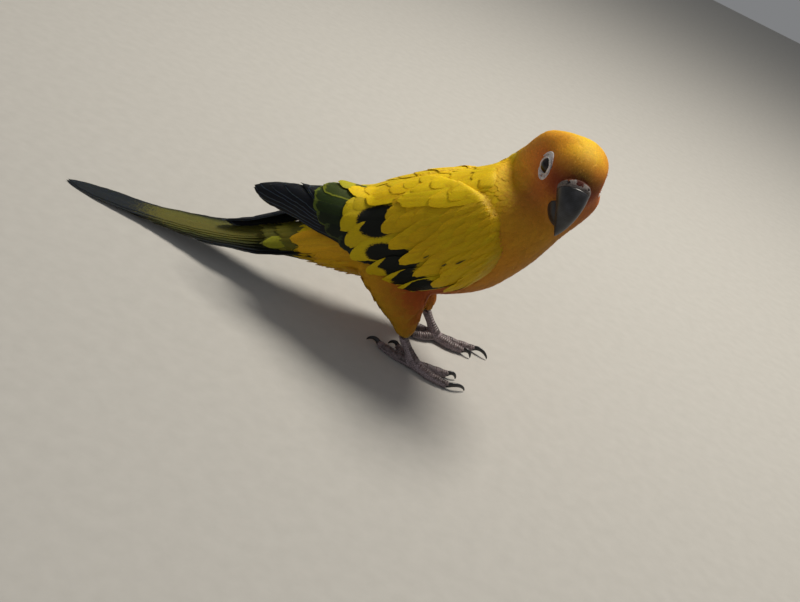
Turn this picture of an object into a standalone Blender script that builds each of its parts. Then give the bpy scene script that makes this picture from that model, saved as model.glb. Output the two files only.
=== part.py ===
"""Sun conure standing on a level floor, life size, head turned to its right.

The bird faces +X, its left is +Y and up is +Z. Sizes are written in
millimetres and turned into metres by MM. The body is one lofted form that is
parted by thin cuts into torso, neck and head. Wings, tail, legs, bill and eyes
are placed from that form, so a changed station moves what grows from it.
"""
import math

import bmesh
import bpy
import numpy as np
from mathutils import Vector
from mathutils.bvhtree import BVHTree

MM = 0.001
GAP = 0.3 * MM

# Body: each station has its centre x and z, its reach toward the breast and
# toward the back, and its half width. Rings stand square to the line of centres.
BODY_STATIONS = [
    (-101.0, 24.5, 7.0, 7.0, 11.0),
    (-91.0, 29.5, 10.0, 9.5, 13.0),
    (-76.0, 39.0, 15.5, 14.5, 18.0),
    (-58.0, 49.5, 23.0, 22.5, 23.0),
    (-39.0, 59.0, 29.0, 28.5, 27.0),
    (-19.0, 72.5, 30.0, 30.0, 28.5),
    (-5.5, 87.0, 25.5, 28.0, 26.0),
]
NECK_STATION = (3.5, -1.5, 101.0, 19.8, 24.0, 20.6, 0.3)
NECK_TURN = -25.0

# Head: its centre, the way it faces and its levels: height over the centre,
# middle along the head, reach to the face, to the nape and to each side, and the
# share of the bulge that the nape feathers make where the head turns.
# The bulge has its height, its direction round the ring and its spread.
HEAD_CENTRE = (10.4, -6.2, 122.5)
HEAD_YAW = -84.0
HEAD_PITCH = 9.5
HEAD_ROLL = 3.5
HEAD_LEVELS = [
    (-12.0, -5.0, 21.0, 19.5, 19.0, 1.0),
    (-4.0, -5.0, 24.0, 17.5, 17.0, 0.8),
    (4.0, -4.0, 23.5, 16.5, 15.8, 0.45),
]
CROWN_HEIGHT = 14.0
CROWN_STEPS = (28.0, 54.0, 76.0, 88.0)
NAPE_BULGE = (12.5, 156.0, 30.0)

# Eyes: place on the head, size of the ball, of the opening between the lids
# and of the bare ring round it.
EYE_PLACE = (3.2, 12.1, 2.0)
EYE_LOOK = (0.33, 1.0, 0.08)
EYE_RADIUS = 4.3
LID_RADIUS = 0.6
LID_HEIGHT = 3.5
LID_OPENING = (3.2, 3.5)
RING_OFFSET = 2.6
BARE_RING = (5.2, 6.1, 1.6)

# Bill: the ridge of the upper half is an arc that starts at the forehead.
CULMEN_START = (18.5, 9.0)
CULMEN_LENGTH = 32.0
CULMEN_SLOPES = (27.0, 126.0)
BILL_HALF_WIDTH = 7.0
BILL_DEPTH = 14.0
BILL_TAPER = 2.1
BILL_DEPTH_TAPER = 1.6
BILL_TIP_RADIUS = 0.4
CERE_START = 0.01
CERE_END = 0.13
CERE_GAP_SHARE = 0.012
CERE_SWELL = 0.5
BILL_SEAT_SWELL = 0.9
NOSTRIL = (4.2, 0.075, 0.7)
MOUTH_CORNER = (17.2, 9.4, -7.6)
MOUTH_WAY = (0.75, 0.0, 0.65)
MOUTH_RADII = (4.2, 0.6, 2.4)
LOWER_BILL = [
    (8.0, -8.0, 7.0, 7.0),
    (14.0, -10.4, 7.0, 6.9),
    (18.8, -11.2, 5.8, 5.6),
    (22.4, -10.0, 3.6, 3.2),
]

# Wings: line of the folded wing behind the body and its reach round that line,
# as x, z, reach up and out, then where its upper and lower edges run, as angles
# round the line from straight up.
WING_LINES = {
    "right": [
        (-124.5, 43.0, 1.5, 3.0),
        (-113.0, 44.5, 7.5, 8.0),
        (-100.0, 46.5, 11.5, 12.0),
        (-85.0, 49.0, 15.5, 17.0),
        (-65.0, 52.5, 17.0, 20.0),
        (-40.0, 60.0, 15.0, 18.0),
        (0.0, 80.0, 10.0, 12.0),
    ],
    "left": [
        (-134.0, 19.0, 1.5, 3.0),
        (-120.0, 26.5, 7.0, 8.0),
        (-104.0, 36.5, 10.5, 12.0),
        (-85.0, 47.0, 14.5, 17.0),
        (-65.0, 52.5, 17.0, 20.0),
        (-40.0, 60.0, 15.0, 18.0),
        (0.0, 80.0, 10.0, 12.0),
    ],
}
WING_TIP = {"right": -123.5, "left": -133.0}
WING_BEND = -4.5
WING_EDGES = [
    (0.0, 75.0, 75.0),
    (0.08, 20.0, 97.0),
    (0.25, 9.0, 107.0),
    (0.5, 7.0, 109.0),
    (0.62, 10.0, 124.0),
    (0.72, 15.0, 131.0),
    (0.85, 32.0, 127.0),
    (0.93, 50.0, 120.0),
    (1.0, 86.0, 98.0),
]
WING_THICKNESS = 1.7
WING_EDGE_THICKNESS = 0.8
WING_CLEARANCE = 0.7
WING_MARGIN = 5.2
WING_MARGIN_ANGLE = 7.0
WING_INSET = 4.0
WING_PAD_START = 0.1
WING_PARTING = 0.6

# Vanes: thickness of a free one, how far a root lies under the wing's surface,
# how deep a vane is fused with what it lies on and the shares of its length at
# which its width is given.
VANE_THICKNESS = 0.75
ROOT_SINK = 0.5
FUSED_LIFT = 0.45
LONG_VANE = ((0.0, 0.6), (0.25, 0.9), (0.5, 1.0), (0.75, 1.0), (0.92, 0.75), (1.0, 0.25))
MIDDLE_VANE = ((0.0, 0.7), (0.35, 1.0), (0.65, 1.0), (0.88, 0.8), (1.0, 0.3))
SHORT_VANE = ((0.0, 0.7), (0.45, 1.0), (0.82, 0.9), (1.0, 0.35))

# Flight feathers: root and tip as shares of the wing from its tip and across it
# from the upper edge, half width, lift at the tip and the step between vanes in mm.
PRIMARIES = {"count": 5, "root": 0.52, "tips": (0.0, 0.17), "pitch": 1.9, "half": 4.8, "lift": 0.5, "step": 0.45}
SECONDARIES = {
    "count": 5,
    "roots": ((0.57, 0.74), (0.52, 0.14)),
    "tips": ((0.24, 0.74), (0.34, 0.12)),
    "half": 4.9,
    "lift": 1.9,
    "tilt": 0.08,
}
# Coverts and scapulars: tips as x in mm and angle round the wing line, from the
# upper to the lower edge, with the way back to the root.
COVERT_TIERS = [
    {
        "name": "greater_coverts",
        "tips": [(-80.0, 30.0), (-77.6, 52.3), (-74.0, 76.0), (-69.0, 92.0), (-59.0, 107.0), (-45.0, 121.7)],
        "count": 8,
        "way": (22.0, -17.0),
        "half": 4.6,
        "lift": 1.35,
        "tilt": 0.08,
    },
    {
        "name": "median_coverts",
        "tips": [(-64.0, 34.0), (-61.7, 51.9), (-57.5, 73.3), (-51.1, 87.2), (-42.3, 99.0), (-27.6, 120.0)],
        "count": 7,
        "way": (17.0, -20.0),
        "half": 4.6,
        "lift": 0.85,
        "tilt": 0.08,
    },
    {
        "name": "scapulars",
        "tips": [(-83.0, 14.0), (-73.5, 22.0), (-63.8, 38.0), (-45.5, 46.5)],
        "count": 4,
        "way": (26.0, -6.0),
        "half": 5.2,
        "lift": 1.9,
        "tilt": 0.08,
    },
]

# Tail: half width and half depth at its root, then the middle of the folded tail
# behind the body with the same sizes, back to the tip that rests on the floor.
TAIL_ROOT = (9.0, 5.0)
TAIL_LINE = [
    (-119.0, 16.0, 12.0, 3.6),
    (-133.0, 11.4, 11.5, 2.8),
    (-150.0, 7.8, 10.2, 2.0),
    (-170.0, 4.5, 8.0, 1.3),
    (-196.0, 1.9, 4.5, 0.7),
    (-213.5, 0.45, 1.6, 0.45),
]
# Tail feathers, from the middle pair to the outer one: where each pair ends, and
# how much lower each pair lies. The plug holds their roots.
TAIL_TIPS = (-213.5, -201.0, -188.0, -174.0, -160.0, -146.0)
TAIL_FEATHER_HALF = 5.4
TAIL_PAIR_STEP = 0.55
TAIL_SIDE_STEP = 0.25
TAIL_DROOP = 0.06
TAIL_ROOT_X = -104.5
TAIL_PLUG = ((0.0, 1.0), (0.06, 1.0), (0.12, 0.9), (0.18, 0.6))
# Tail coverts grow from the torso: angles round the tail from straight up, root
# and tip in body stations behind the torso's end, half width.
TAIL_COVERT_CLEARANCE = 1.0
TAIL_COVERTS = [
    {"name": "upper_tail_coverts", "spread": 62.0, "middle": 0.0, "count": 5, "root": -0.85, "tips": (0.55, 0.3), "half": 4.2},
    {"name": "under_tail_coverts", "spread": 62.0, "middle": 180.0, "count": 5, "root": -0.7, "tips": (1.15, 0.8), "half": 4.4},
]

# Legs: end of the feathered thigh and middle of the foot, then each toe's way
# over the floor with its claw.
THIGH = [
    (-45.0, 13.0, 50.0, 21.0, 11.0),
    (-41.0, 16.5, 36.0, 19.0, 10.0),
    (-33.5, 19.0, 26.0, 12.5, 8.0),
    (-28.5, 19.5, 20.0, 7.6, 6.0),
    (-25.8, 19.5, 14.5, 3.8, 3.6),
]
LEG_SIDES = {"right": (-1.0, 0.0, 0.0), "left": (1.0, 6.5, -1.5)}
TARSUS_TOP = (-25.4, 19.5, 14.2)
FOOT_CENTRE = {"right": (-14.5, -19.4, 3.6), "left": (-8.8, 17.6, 3.6)}
TARSUS_RADII = (2.4, 2.1, 2.9)
TOE_RADII = (2.7, 2.4, 2.0)
TOES = {
    "right": {
        "outer_front": ((-3.5, -22.1), (4.8, -22.0), (14.6, -17.4)),
        "inner_front": ((-5.0, -15.5), (3.0, -12.6), (8.6, -10.6)),
        "outer_hind": ((-25.5, -17.6), (-34.0, -14.6), (-41.0, -13.4)),
        "inner_hind": ((-19.5, -13.6), (-24.5, -9.6), (-30.0, -7.6)),
    },
    "left": {
        "outer_front": ((3.2, 20.9), (13.0, 24.6), (22.6, 23.4)),
        "inner_front": ((1.0, 16.2), (7.8, 17.4), (13.4, 16.6)),
        "outer_hind": ((-19.0, 18.6), (-28.0, 20.2), (-35.0, 20.4)),
        "inner_hind": ((-14.5, 12.6), (-20.0, 9.8), (-25.5, 9.2)),
    },
}
CLAW_RADIUS = 1.35
CLAW_RISE = 2.6

RING_POINTS = 32
STEPS_PER_STATION = 2.2
TORSO_END = 5.9
NECK_END = 7.15
CUT_SHARE = 0.03


def catmull(values, u):
    """Smooth value at u on a curve through evenly numbered values."""
    values = np.asarray(values, dtype=float)
    last = len(values) - 1
    i = int(min(max(math.floor(u), 0), last - 1))
    t = u - i
    p1, p2 = values[i], values[i + 1]
    p0 = values[i - 1] if i > 0 else 2.0 * p1 - p2
    p3 = values[i + 2] if i + 2 <= last else 2.0 * p2 - p1
    slope1, slope2 = 0.5 * (p2 - p0), 0.5 * (p3 - p1)
    return (
        (2 * t**3 - 3 * t**2 + 1) * p1
        + (t**3 - 2 * t**2 + t) * slope1
        + (3 * t**2 - 2 * t**3) * p2
        + (t**3 - t**2) * slope2
    )


def unit(v):
    return v / np.linalg.norm(v)


def head_axes():
    """Forward, left and up of the turned head."""
    yaw, pitch, roll = (math.radians(a) for a in (HEAD_YAW, HEAD_PITCH, HEAD_ROLL))
    cy, sy, cp, sp = math.cos(yaw), math.sin(yaw), math.cos(pitch), math.sin(pitch)
    cr, sr = math.cos(roll), math.sin(roll)
    turn = np.array([[cy, -sy, 0], [sy, cy, 0], [0, 0, 1]])
    nod = np.array([[cp, 0, sp], [0, 1, 0], [-sp, 0, cp]])
    tilt = np.array([[1, 0, 0], [0, cr, -sr], [0, sr, cr]])
    return turn @ nod @ tilt


HEAD_AXES = head_axes()


def head_point(forward, left, up):
    """Bird-frame point, in metres, of a point given in the head's own axes in mm."""
    return (np.array(HEAD_CENTRE) + HEAD_AXES @ np.array([forward, left, up])) * MM


def body_rows():
    """Every station: centre x, y, z, reach to breast, back, side, bulge, turn, way."""
    rows = []
    for i, (x, z, breast, back, half) in enumerate(BODY_STATIONS):
        ahead = BODY_STATIONS[min(i + 1, len(BODY_STATIONS) - 1)]
        behind = BODY_STATIONS[max(i - 1, 0)]
        way = unit(np.array([ahead[0] - behind[0], 0.0, ahead[1] - behind[1]]))
        rows.append((x, 0.0, z, breast, back, half, 0.0, 0.0, *way))
    head_up = HEAD_AXES[:, 2]
    rows.append((*NECK_STATION, NECK_TURN, *unit(np.array(rows[-1][8:11]) + head_up)))
    for level, middle, *shape in HEAD_LEVELS:
        rows.append((*(head_point(middle, 0, level) / MM), *shape, HEAD_YAW, *head_up))
    top_level, middle, *shape = HEAD_LEVELS[-1]
    for step in CROWN_STEPS:
        rise, shrink = math.sin(math.radians(step)), math.cos(math.radians(step))
        centre = head_point(middle * shrink, 0, top_level + CROWN_HEIGHT * rise) / MM
        rows.append((*centre, *(reach * shrink for reach in shape), HEAD_YAW, *head_up))
    return np.array(rows)


BODY_ROWS = body_rows()


def body_ring(u, swell=0.0, points=RING_POINTS):
    """Ring of the body at station number u, swollen outward by swell metres."""
    row = catmull(BODY_ROWS, u)
    centre, way = row[:3], unit(row[8:11])
    side = np.array([0.0, 1.0, 0.0])
    side = unit(side - way * (side @ way))
    front = np.cross(side, way)
    height, direction, spread = NAPE_BULGE
    ring = []
    for k in range(points):
        angle = 360.0 * k / points
        c, s = math.cos(math.radians(angle - row[7])), math.sin(math.radians(angle - row[7]))
        ahead = row[3] if c > 0 else row[4]
        radius = 1.0 / math.sqrt((c / ahead) ** 2 + (s / row[5]) ** 2) + swell / MM
        radius += height * row[6] * math.exp(-(((angle - direction) / spread) ** 2))
        c, s = math.cos(math.radians(angle)), math.sin(math.radians(angle))
        ring.append((centre + radius * (c * front + s * side)) * MM)
    return ring


def loft_mesh(rings, tip=None):
    """Closed mesh through rings; flat caps, or a point in place of the last cap."""
    count = len(rings[0])
    verts = [tuple(p) for ring in rings for p in ring]
    faces = []
    for i in range(len(rings) - 1):
        for k in range(count):
            a, b = i * count + k, i * count + (k + 1) % count
            faces.append((a, b, b + count, a + count))
    faces.append(tuple(reversed(range(count))))
    base = (len(rings) - 1) * count
    if tip is None:
        faces.append(tuple(base + k for k in range(count)))
    else:
        verts.append(tuple(tip))
        for k in range(count):
            faces.append((base + k, base + (k + 1) % count, len(verts) - 1))
    return verts, faces


def make_object(name, verts, faces, material=None):
    """New object with outward faces, shaded smooth across its round parts."""
    mesh = bpy.data.meshes.new(name)
    mesh.from_pydata([tuple(v) for v in verts], [], faces)
    bm = bmesh.new()
    bm.from_mesh(mesh)
    bmesh.ops.recalc_face_normals(bm, faces=bm.faces)
    bm.to_mesh(mesh)
    bm.free()
    mesh.shade_smooth()
    mesh.set_sharp_from_angle(angle=math.radians(40))
    obj = bpy.data.objects.new(name, mesh)
    bpy.context.scene.collection.objects.link(obj)
    if material is not None:
        obj.data.materials.append(material)
    return obj


def plain_material(name, colour, roughness, metallic=0.0):
    material = bpy.data.materials.new(name)
    material.use_nodes = True
    shader = material.node_tree.nodes["Principled BSDF"]
    shader.inputs["Base Color"].default_value = (*colour, 1.0)
    shader.inputs["Roughness"].default_value = roughness
    shader.inputs["Metallic"].default_value = metallic
    material.diffuse_color = (*colour, 1.0)
    return material


def body_piece(name, start, end, material=None, pointed=False, swell=0.0):
    """Length of the body from one station number to another."""
    count = max(2, int(round((end - start) * STEPS_PER_STATION)))
    rings = [body_ring(start + (end - start) * i / count, swell) for i in range(count + 1)]
    tip = catmull(BODY_ROWS, end)[:3] * MM if pointed else None
    verts, faces = loft_mesh(rings, tip)
    return make_object(name, verts, faces, material)


def path_rings(centres, half_heights, half_widths, sides, first_way=None):
    """Elliptical rings square to a path, flattened where they would pass the floor."""
    centres = [np.array(c, dtype=float) for c in centres]
    rings = []
    for i, centre in enumerate(centres):
        ahead, behind = centres[min(i + 1, len(centres) - 1)], centres[max(i - 1, 0)]
        tangent = unit(ahead - behind) if i > 0 or first_way is None else first_way
        side = np.cross(np.array([0.0, 0.0, 1.0]), tangent)
        side = unit(side) if np.linalg.norm(side) > 0.01 else np.array([0.0, 1.0, 0.0])
        top = np.cross(tangent, side)
        ring = []
        for k in range(sides):
            angle = 2 * math.pi * (k + 0.5) / sides
            p = centre + half_heights[i] * math.cos(angle) * top - half_widths[i] * math.sin(angle) * side
            p[2] = max(p[2], 0.0)
            ring.append(p * MM)
        rings.append(ring)
    return rings


def evaluated_copy(obj):
    depsgraph = bpy.context.evaluated_depsgraph_get()
    return bpy.data.meshes.new_from_object(obj.evaluated_get(depsgraph))


def combine(obj, others, operation, solver="EXACT"):
    """Join or cut obj with closed objects in one Boolean, then remove them."""
    group = bpy.data.collections.new("operands")
    bpy.context.scene.collection.children.link(group)
    for other in others:
        bpy.context.scene.collection.objects.unlink(other)
        group.objects.link(other)
    modifier = obj.modifiers.new("combine", "BOOLEAN")
    modifier.operation = operation
    modifier.operand_type = "COLLECTION"
    modifier.collection = group
    modifier.solver = solver
    mesh = evaluated_copy(obj)
    obj.modifiers.clear()
    old = obj.data
    obj.data = mesh
    bpy.data.meshes.remove(old)
    for other in others:
        bpy.data.objects.remove(other, do_unlink=True)
    bpy.data.collections.remove(group)
    keep_largest(obj)


def keep_largest(obj):
    """Drop every closed surface of the object but the largest."""
    bm = bmesh.new()
    bm.from_mesh(obj.data)
    left = set(bm.verts)
    groups = []
    while left:
        start = left.pop()
        group, stack = {start}, [start]
        while stack:
            for edge in stack.pop().link_edges:
                for vert in edge.verts:
                    if vert in left:
                        left.remove(vert)
                        group.add(vert)
                        stack.append(vert)
        groups.append(group)
    groups.sort(key=len)
    for group in groups[:-1]:
        bmesh.ops.delete(bm, geom=list(group), context="VERTS")
    bm.to_mesh(obj.data)
    bm.free()
    obj.data.shade_smooth()
    obj.data.set_sharp_from_angle(angle=math.radians(40))


def head_direction(forward, left, up):
    return HEAD_AXES @ np.array([forward, left, up])


def ball(name, centre, radii, segments, rows, material=None, axes=None):
    """Closed ellipsoid; radii run along the columns of axes."""
    axes = np.eye(3) if axes is None else axes
    rings = []
    for i in range(1, rows):
        angle = math.pi * i / rows
        ring = []
        for k in range(segments):
            turn = 2 * math.pi * k / segments
            local = np.array([
                radii[0] * math.sin(angle) * math.cos(turn),
                radii[1] * math.sin(angle) * math.sin(turn),
                radii[2] * math.cos(angle),
            ])
            ring.append(centre + axes @ local * MM)
        rings.append(ring)
    count = segments
    verts = [p for ring in rings for p in ring]
    faces = []
    for i in range(len(rings) - 1):
        for k in range(count):
            a, b = i * count + k, i * count + (k + 1) % count
            faces.append((a, b, b + count, a + count))
    for end, pole in ((0, radii[2]), (len(rings) - 1, -radii[2])):
        verts.append(centre + axes @ np.array([0.0, 0.0, pole]) * MM)
        for k in range(count):
            faces.append((end * count + k, end * count + (k + 1) % count, len(verts) - 1))
    return make_object(name, verts, faces, material)


def eye_axes(side):
    """Columns: forward along the head, up along the head, out of the eye."""
    outward = unit(head_direction(EYE_LOOK[0], side * EYE_LOOK[1], EYE_LOOK[2]))
    upward = head_direction(0.0, 0.0, 1.0)
    upward = unit(upward - outward * (upward @ outward))
    return np.column_stack([np.cross(upward, outward), upward, outward])


def eye_centre(side):
    forward, left, up = EYE_PLACE
    return head_point(forward, side * left, up)


def lid_ring(name, side, material=None):
    """Rounded rim of the lids, standing on the ball of the eye."""
    axes, centre = eye_axes(side), eye_centre(side)
    rounds, sides = 14, 4
    verts, faces = [], []
    for i in range(rounds):
        turn = 2 * math.pi * i / rounds
        across = np.array([math.cos(turn), math.sin(turn), 0.0])
        out = LID_OPENING[0] + LID_RADIUS, LID_OPENING[1] + LID_RADIUS
        middle = np.array([out[0] * across[0], out[1] * across[1], LID_HEIGHT])
        for k in range(sides):
            angle = 2 * math.pi * k / sides
            local = middle + LID_RADIUS * (math.cos(angle) * across + math.sin(angle) * np.array([0, 0, 1.0]))
            verts.append(centre + axes @ local * MM)
    for i in range(rounds):
        for k in range(sides):
            a, b = i * sides + k, i * sides + (k + 1) % sides
            c, d = (a + sides) % len(verts), (b + sides) % len(verts)
            faces.append((a, b, d, c))
    return make_object(name, verts, faces, material)


def bill_ring(t, swell=0.0, sides=16):
    """Section of the upper bill at share t of its ridge, from forehead to tip."""
    slope0, slope1 = (math.radians(a) for a in CULMEN_SLOPES)
    steps = 40
    forward, up = CULMEN_START
    for i in range(steps):
        slope = slope0 + (slope1 - slope0) * t * (i + 0.5) / steps
        forward += CULMEN_LENGTH * t / steps * math.cos(slope)
        up -= CULMEN_LENGTH * t / steps * math.sin(slope)
    slope = slope0 + (slope1 - slope0) * t
    inward = np.array([-math.sin(slope), 0.0, -math.cos(slope)])
    half = BILL_HALF_WIDTH * (1 - t**BILL_TAPER) + swell + BILL_TIP_RADIUS
    depth = BILL_DEPTH * (1 - t**BILL_DEPTH_TAPER) + 2 * BILL_TIP_RADIUS
    ring = []
    for k in range(sides):
        angle = 2 * math.pi * k / sides
        c, s = math.cos(angle), math.sin(angle)
        reach = 0.55 * depth if c > 0 else 0.45 * depth
        inset = 0.55 * depth - (reach + swell) * c
        local = np.array([forward, 0.0, up]) + inward * inset + np.array([0.0, half * s, 0.0])
        ring.append(head_point(*local))
    return ring


def upper_bill(name, start, end, swell=0.0, material=None):
    count = max(2, int(round((end - start) * 10)))
    rings = [bill_ring(start + (end - start) * i / count, swell) for i in range(count + 1)]
    verts, faces = loft_mesh(rings)
    return make_object(name, verts, faces, material)


def lower_bill(name, swell=0.0, material=None):
    rows = np.array(LOWER_BILL)
    count = 9
    rings = []
    for i in range(count + 1):
        u = (len(rows) - 1) * i / count
        forward, up, deep, half = catmull(rows, u)
        slope = catmull(rows, u + 0.05) - catmull(rows, u - 0.05)
        tangent = unit(np.array([slope[0], 0.0, slope[1]]))
        top = np.array([-tangent[2], 0.0, tangent[0]])
        ring = []
        for k in range(16):
            angle = 2 * math.pi * k / 16
            local = np.array([forward, 0.0, up]) + (deep + swell) * math.cos(angle) * top
            local = local + np.array([0.0, (half + swell) * math.sin(angle), 0.0])
            ring.append(head_point(*local))
        rings.append(ring)
    verts, faces = loft_mesh(rings)
    return make_object(name, verts, faces, material)


def nostril(name, side):
    aside, share, radius = NOSTRIL
    middle = np.mean(bill_ring(share), axis=0)
    ridge = bill_ring(share)[0]
    outward = unit(ridge - middle)
    left = head_direction(0.0, side, 0.0)
    spot = middle + outward * 0.72 * np.linalg.norm(ridge - middle) + left * aside * MM
    axes = np.column_stack([head_direction(0, 0, 1), np.cross(unit(outward + left), head_direction(0, 0, 1)), unit(outward + left)])
    return ball(name, spot, (radius, radius, 2.0), 10, 6, None, axes)


def mouth_line(name, side):
    """Groove that carries the line of the mouth back from the corner of the bill."""
    forward, aside, up = MOUTH_CORNER
    along = unit(head_direction(*MOUTH_WAY))
    outward = head_direction(0.0, side, 0.0)
    outward = unit(outward - along * (along @ outward))
    axes = np.column_stack([along, np.cross(outward, along), outward])
    return ball(name, head_point(forward, side * aside, up), MOUTH_RADII, 12, 6, None, axes)


class Wing:
    """Carrier surface of one folded wing: over the flank, then free to the tip."""

    def __init__(self, side_name):
        self.sign = -1.0 if side_name == "right" else 1.0
        self.line = np.array(WING_LINES[side_name])
        self.tip = WING_TIP[side_name]
        last = len(BODY_ROWS) - 1.001
        rings = [body_ring(last * i / 70, points=80) for i in range(71)]
        verts, faces = loft_mesh(rings)
        self.body = BVHTree.FromPolygons([Vector(v) for v in verts], faces)

    def row(self, x):
        """Height of the line, reach up and reach out at x, all in mm."""
        return [float(np.interp(x, self.line[:, 0], self.line[:, i])) for i in (1, 2, 3)]

    def radius(self, x, angle, lift):
        """Reach of the carrier in mm, at x mm and an angle from straight up."""
        z, up, out = self.row(x)
        start = Vector((x * MM, 0.0, z * MM))
        way = Vector((0.0, self.sign * math.sin(angle), math.cos(angle)))
        hit, normal = self.body.ray_cast(start, way)[:2]
        cast = (hit - start).length / MM if hit is not None and normal.dot(way) > 0 else 0.0
        free = 1.0 / math.sqrt((math.cos(angle) / up) ** 2 + (math.sin(angle) / out) ** 2)
        return 0.5 * (cast + free + math.sqrt((cast - free) ** 2 + 4.0)) + lift

    def clear(self, x, angle):
        """Least reach in mm that keeps off the body."""
        z = self.row(x)[0]
        start = Vector((x * MM, 0.0, z * MM))
        way = Vector((0.0, self.sign * math.sin(angle), math.cos(angle)))
        hit, normal = self.body.ray_cast(start, way)[:2]
        return (hit - start).length / MM + WING_CLEARANCE if hit is not None and normal.dot(way) > 0 else 0.0

    def place(self, x, angle, reach):
        z = self.row(x)[0]
        return np.array([x, self.sign * reach * math.sin(angle), z + reach * math.cos(angle)]) * MM


def wing_edges(share):
    """Angles of the upper and lower edge at a share of the wing from its tip."""
    edges = np.array(WING_EDGES)
    return [math.radians(float(np.interp(share, edges[:, 0], edges[:, i]))) for i in (1, 2)]


def pad_thickness(share, across):
    """Thickness of the wing under its vanes."""
    body = math.sin(math.pi * min(max(across, 0.0), 1.0)) ** 0.5 * min(1.0, 4 * share, 8 * (1 - share))
    return WING_EDGE_THICKNESS + (WING_THICKNESS - WING_EDGE_THICKNESS) * body


def wing_shell(name, side_name, margin=None, material=None):
    """Folded wing without its vanes, or with a margin the space the wing needs."""
    wing = Wing(side_name)
    along, across = (16, 8) if margin is None else (14, 6)
    start = WING_PAD_START if margin is None else 0.0
    rings = []
    for i in range(along + 1):
        share = start + (1.0 - start) * (0.5 - 0.5 * math.cos(math.pi * (0.02 + 0.96 * i / along)))
        x = wing.tip + (WING_BEND - wing.tip) * share
        top, low = wing_edges(share)
        if margin is None:
            inset = min(math.radians(WING_INSET), 0.2 * (low - top))
            top, low = top + inset, low - inset
        else:
            low += math.radians(WING_MARGIN_ANGLE)
        outer, inner = [], []
        for k in range(across + 1):
            angle = top + (low - top) * k / across
            base = max(wing.radius(x, angle, 0.0), wing.clear(x, angle))
            if margin is None:
                inner.append(wing.place(x, angle, base))
                outer.append(wing.place(x, angle, base + pad_thickness(share, k / across)))
            else:
                inner.append(wing.place(x, angle, 1.0))
                outer.append(wing.place(x, angle, base + margin))
        rings.append(outer + list(reversed(inner)))
    verts, faces = loft_mesh(rings)
    return make_object(name, verts, faces, material)


def vane(name, spot, half, form):
    """Feather vane; spot gives a point at a share, an offset and top or bottom."""
    verts, faces = [], []
    for share, width in form:
        for face in (0, 1):
            for offset in (-1.0, 0.0, 1.0):
                verts.append(spot(share, offset * half * width, face))
    for i in range(len(form) - 1):
        a, b = 6 * i, 6 * (i + 1)
        for k in (0, 1):
            for base in (k, k + 3):
                faces.append((a + base, a + base + 1, b + base + 1))
                faces.append((a + base, b + base + 1, b + base))
        for k in (0, 2):
            faces.append((a + k, a + k + 3, b + k + 3))
            faces.append((a + k, b + k + 3, b + k))
    for start in (0, 6 * (len(form) - 1)):
        for k in (0, 1):
            faces.append((start + k, start + k + 1, start + k + 4))
            faces.append((start + k, start + k + 4, start + k + 3))
    return make_object(name, verts, faces)


def wing_vane(name, wing, path, half, lift, tilt, form, free=False):
    """Vane over the wing along path, a list of x in mm and angle from root to tip."""
    path = np.array(path, dtype=float)
    path[:, 1] = np.radians(path[:, 1])

    def spot(share, offset, face):
        u = share * (len(path) - 1)
        x, angle = catmull(path, u)
        reach = wing.radius(x, angle, 0.0)
        step = catmull(path, min(u + 0.05, len(path) - 1.0)) - catmull(path, max(u - 0.05, 0.0))
        way = unit(np.array([step[0], step[1] * reach]))
        x, angle = x - way[1] * offset, max(angle - way[0] * offset / reach, WING_PARTING / reach)
        along = (x - wing.tip) / (WING_BEND - wing.tip)
        top, low = wing_edges(min(max(along, 0.0), 1.0))
        pad = pad_thickness(along, (angle - top) / max(low - top, 0.01))
        height = pad - ROOT_SINK + (lift + ROOT_SINK) * share + tilt * offset * min(1.0, 2 * share)
        if face == 1:
            inside = min(FUSED_LIFT, height - VANE_THICKNESS)
            thin = height - VANE_THICKNESS
            height = inside + (thin - inside) * max(0.0, 3 * share - 2) if free else inside
        base = max(wing.radius(x, angle, 0.0), wing.clear(x, angle))
        return wing.place(x, angle, base + height)

    return vane(name, spot, half, form)


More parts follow.
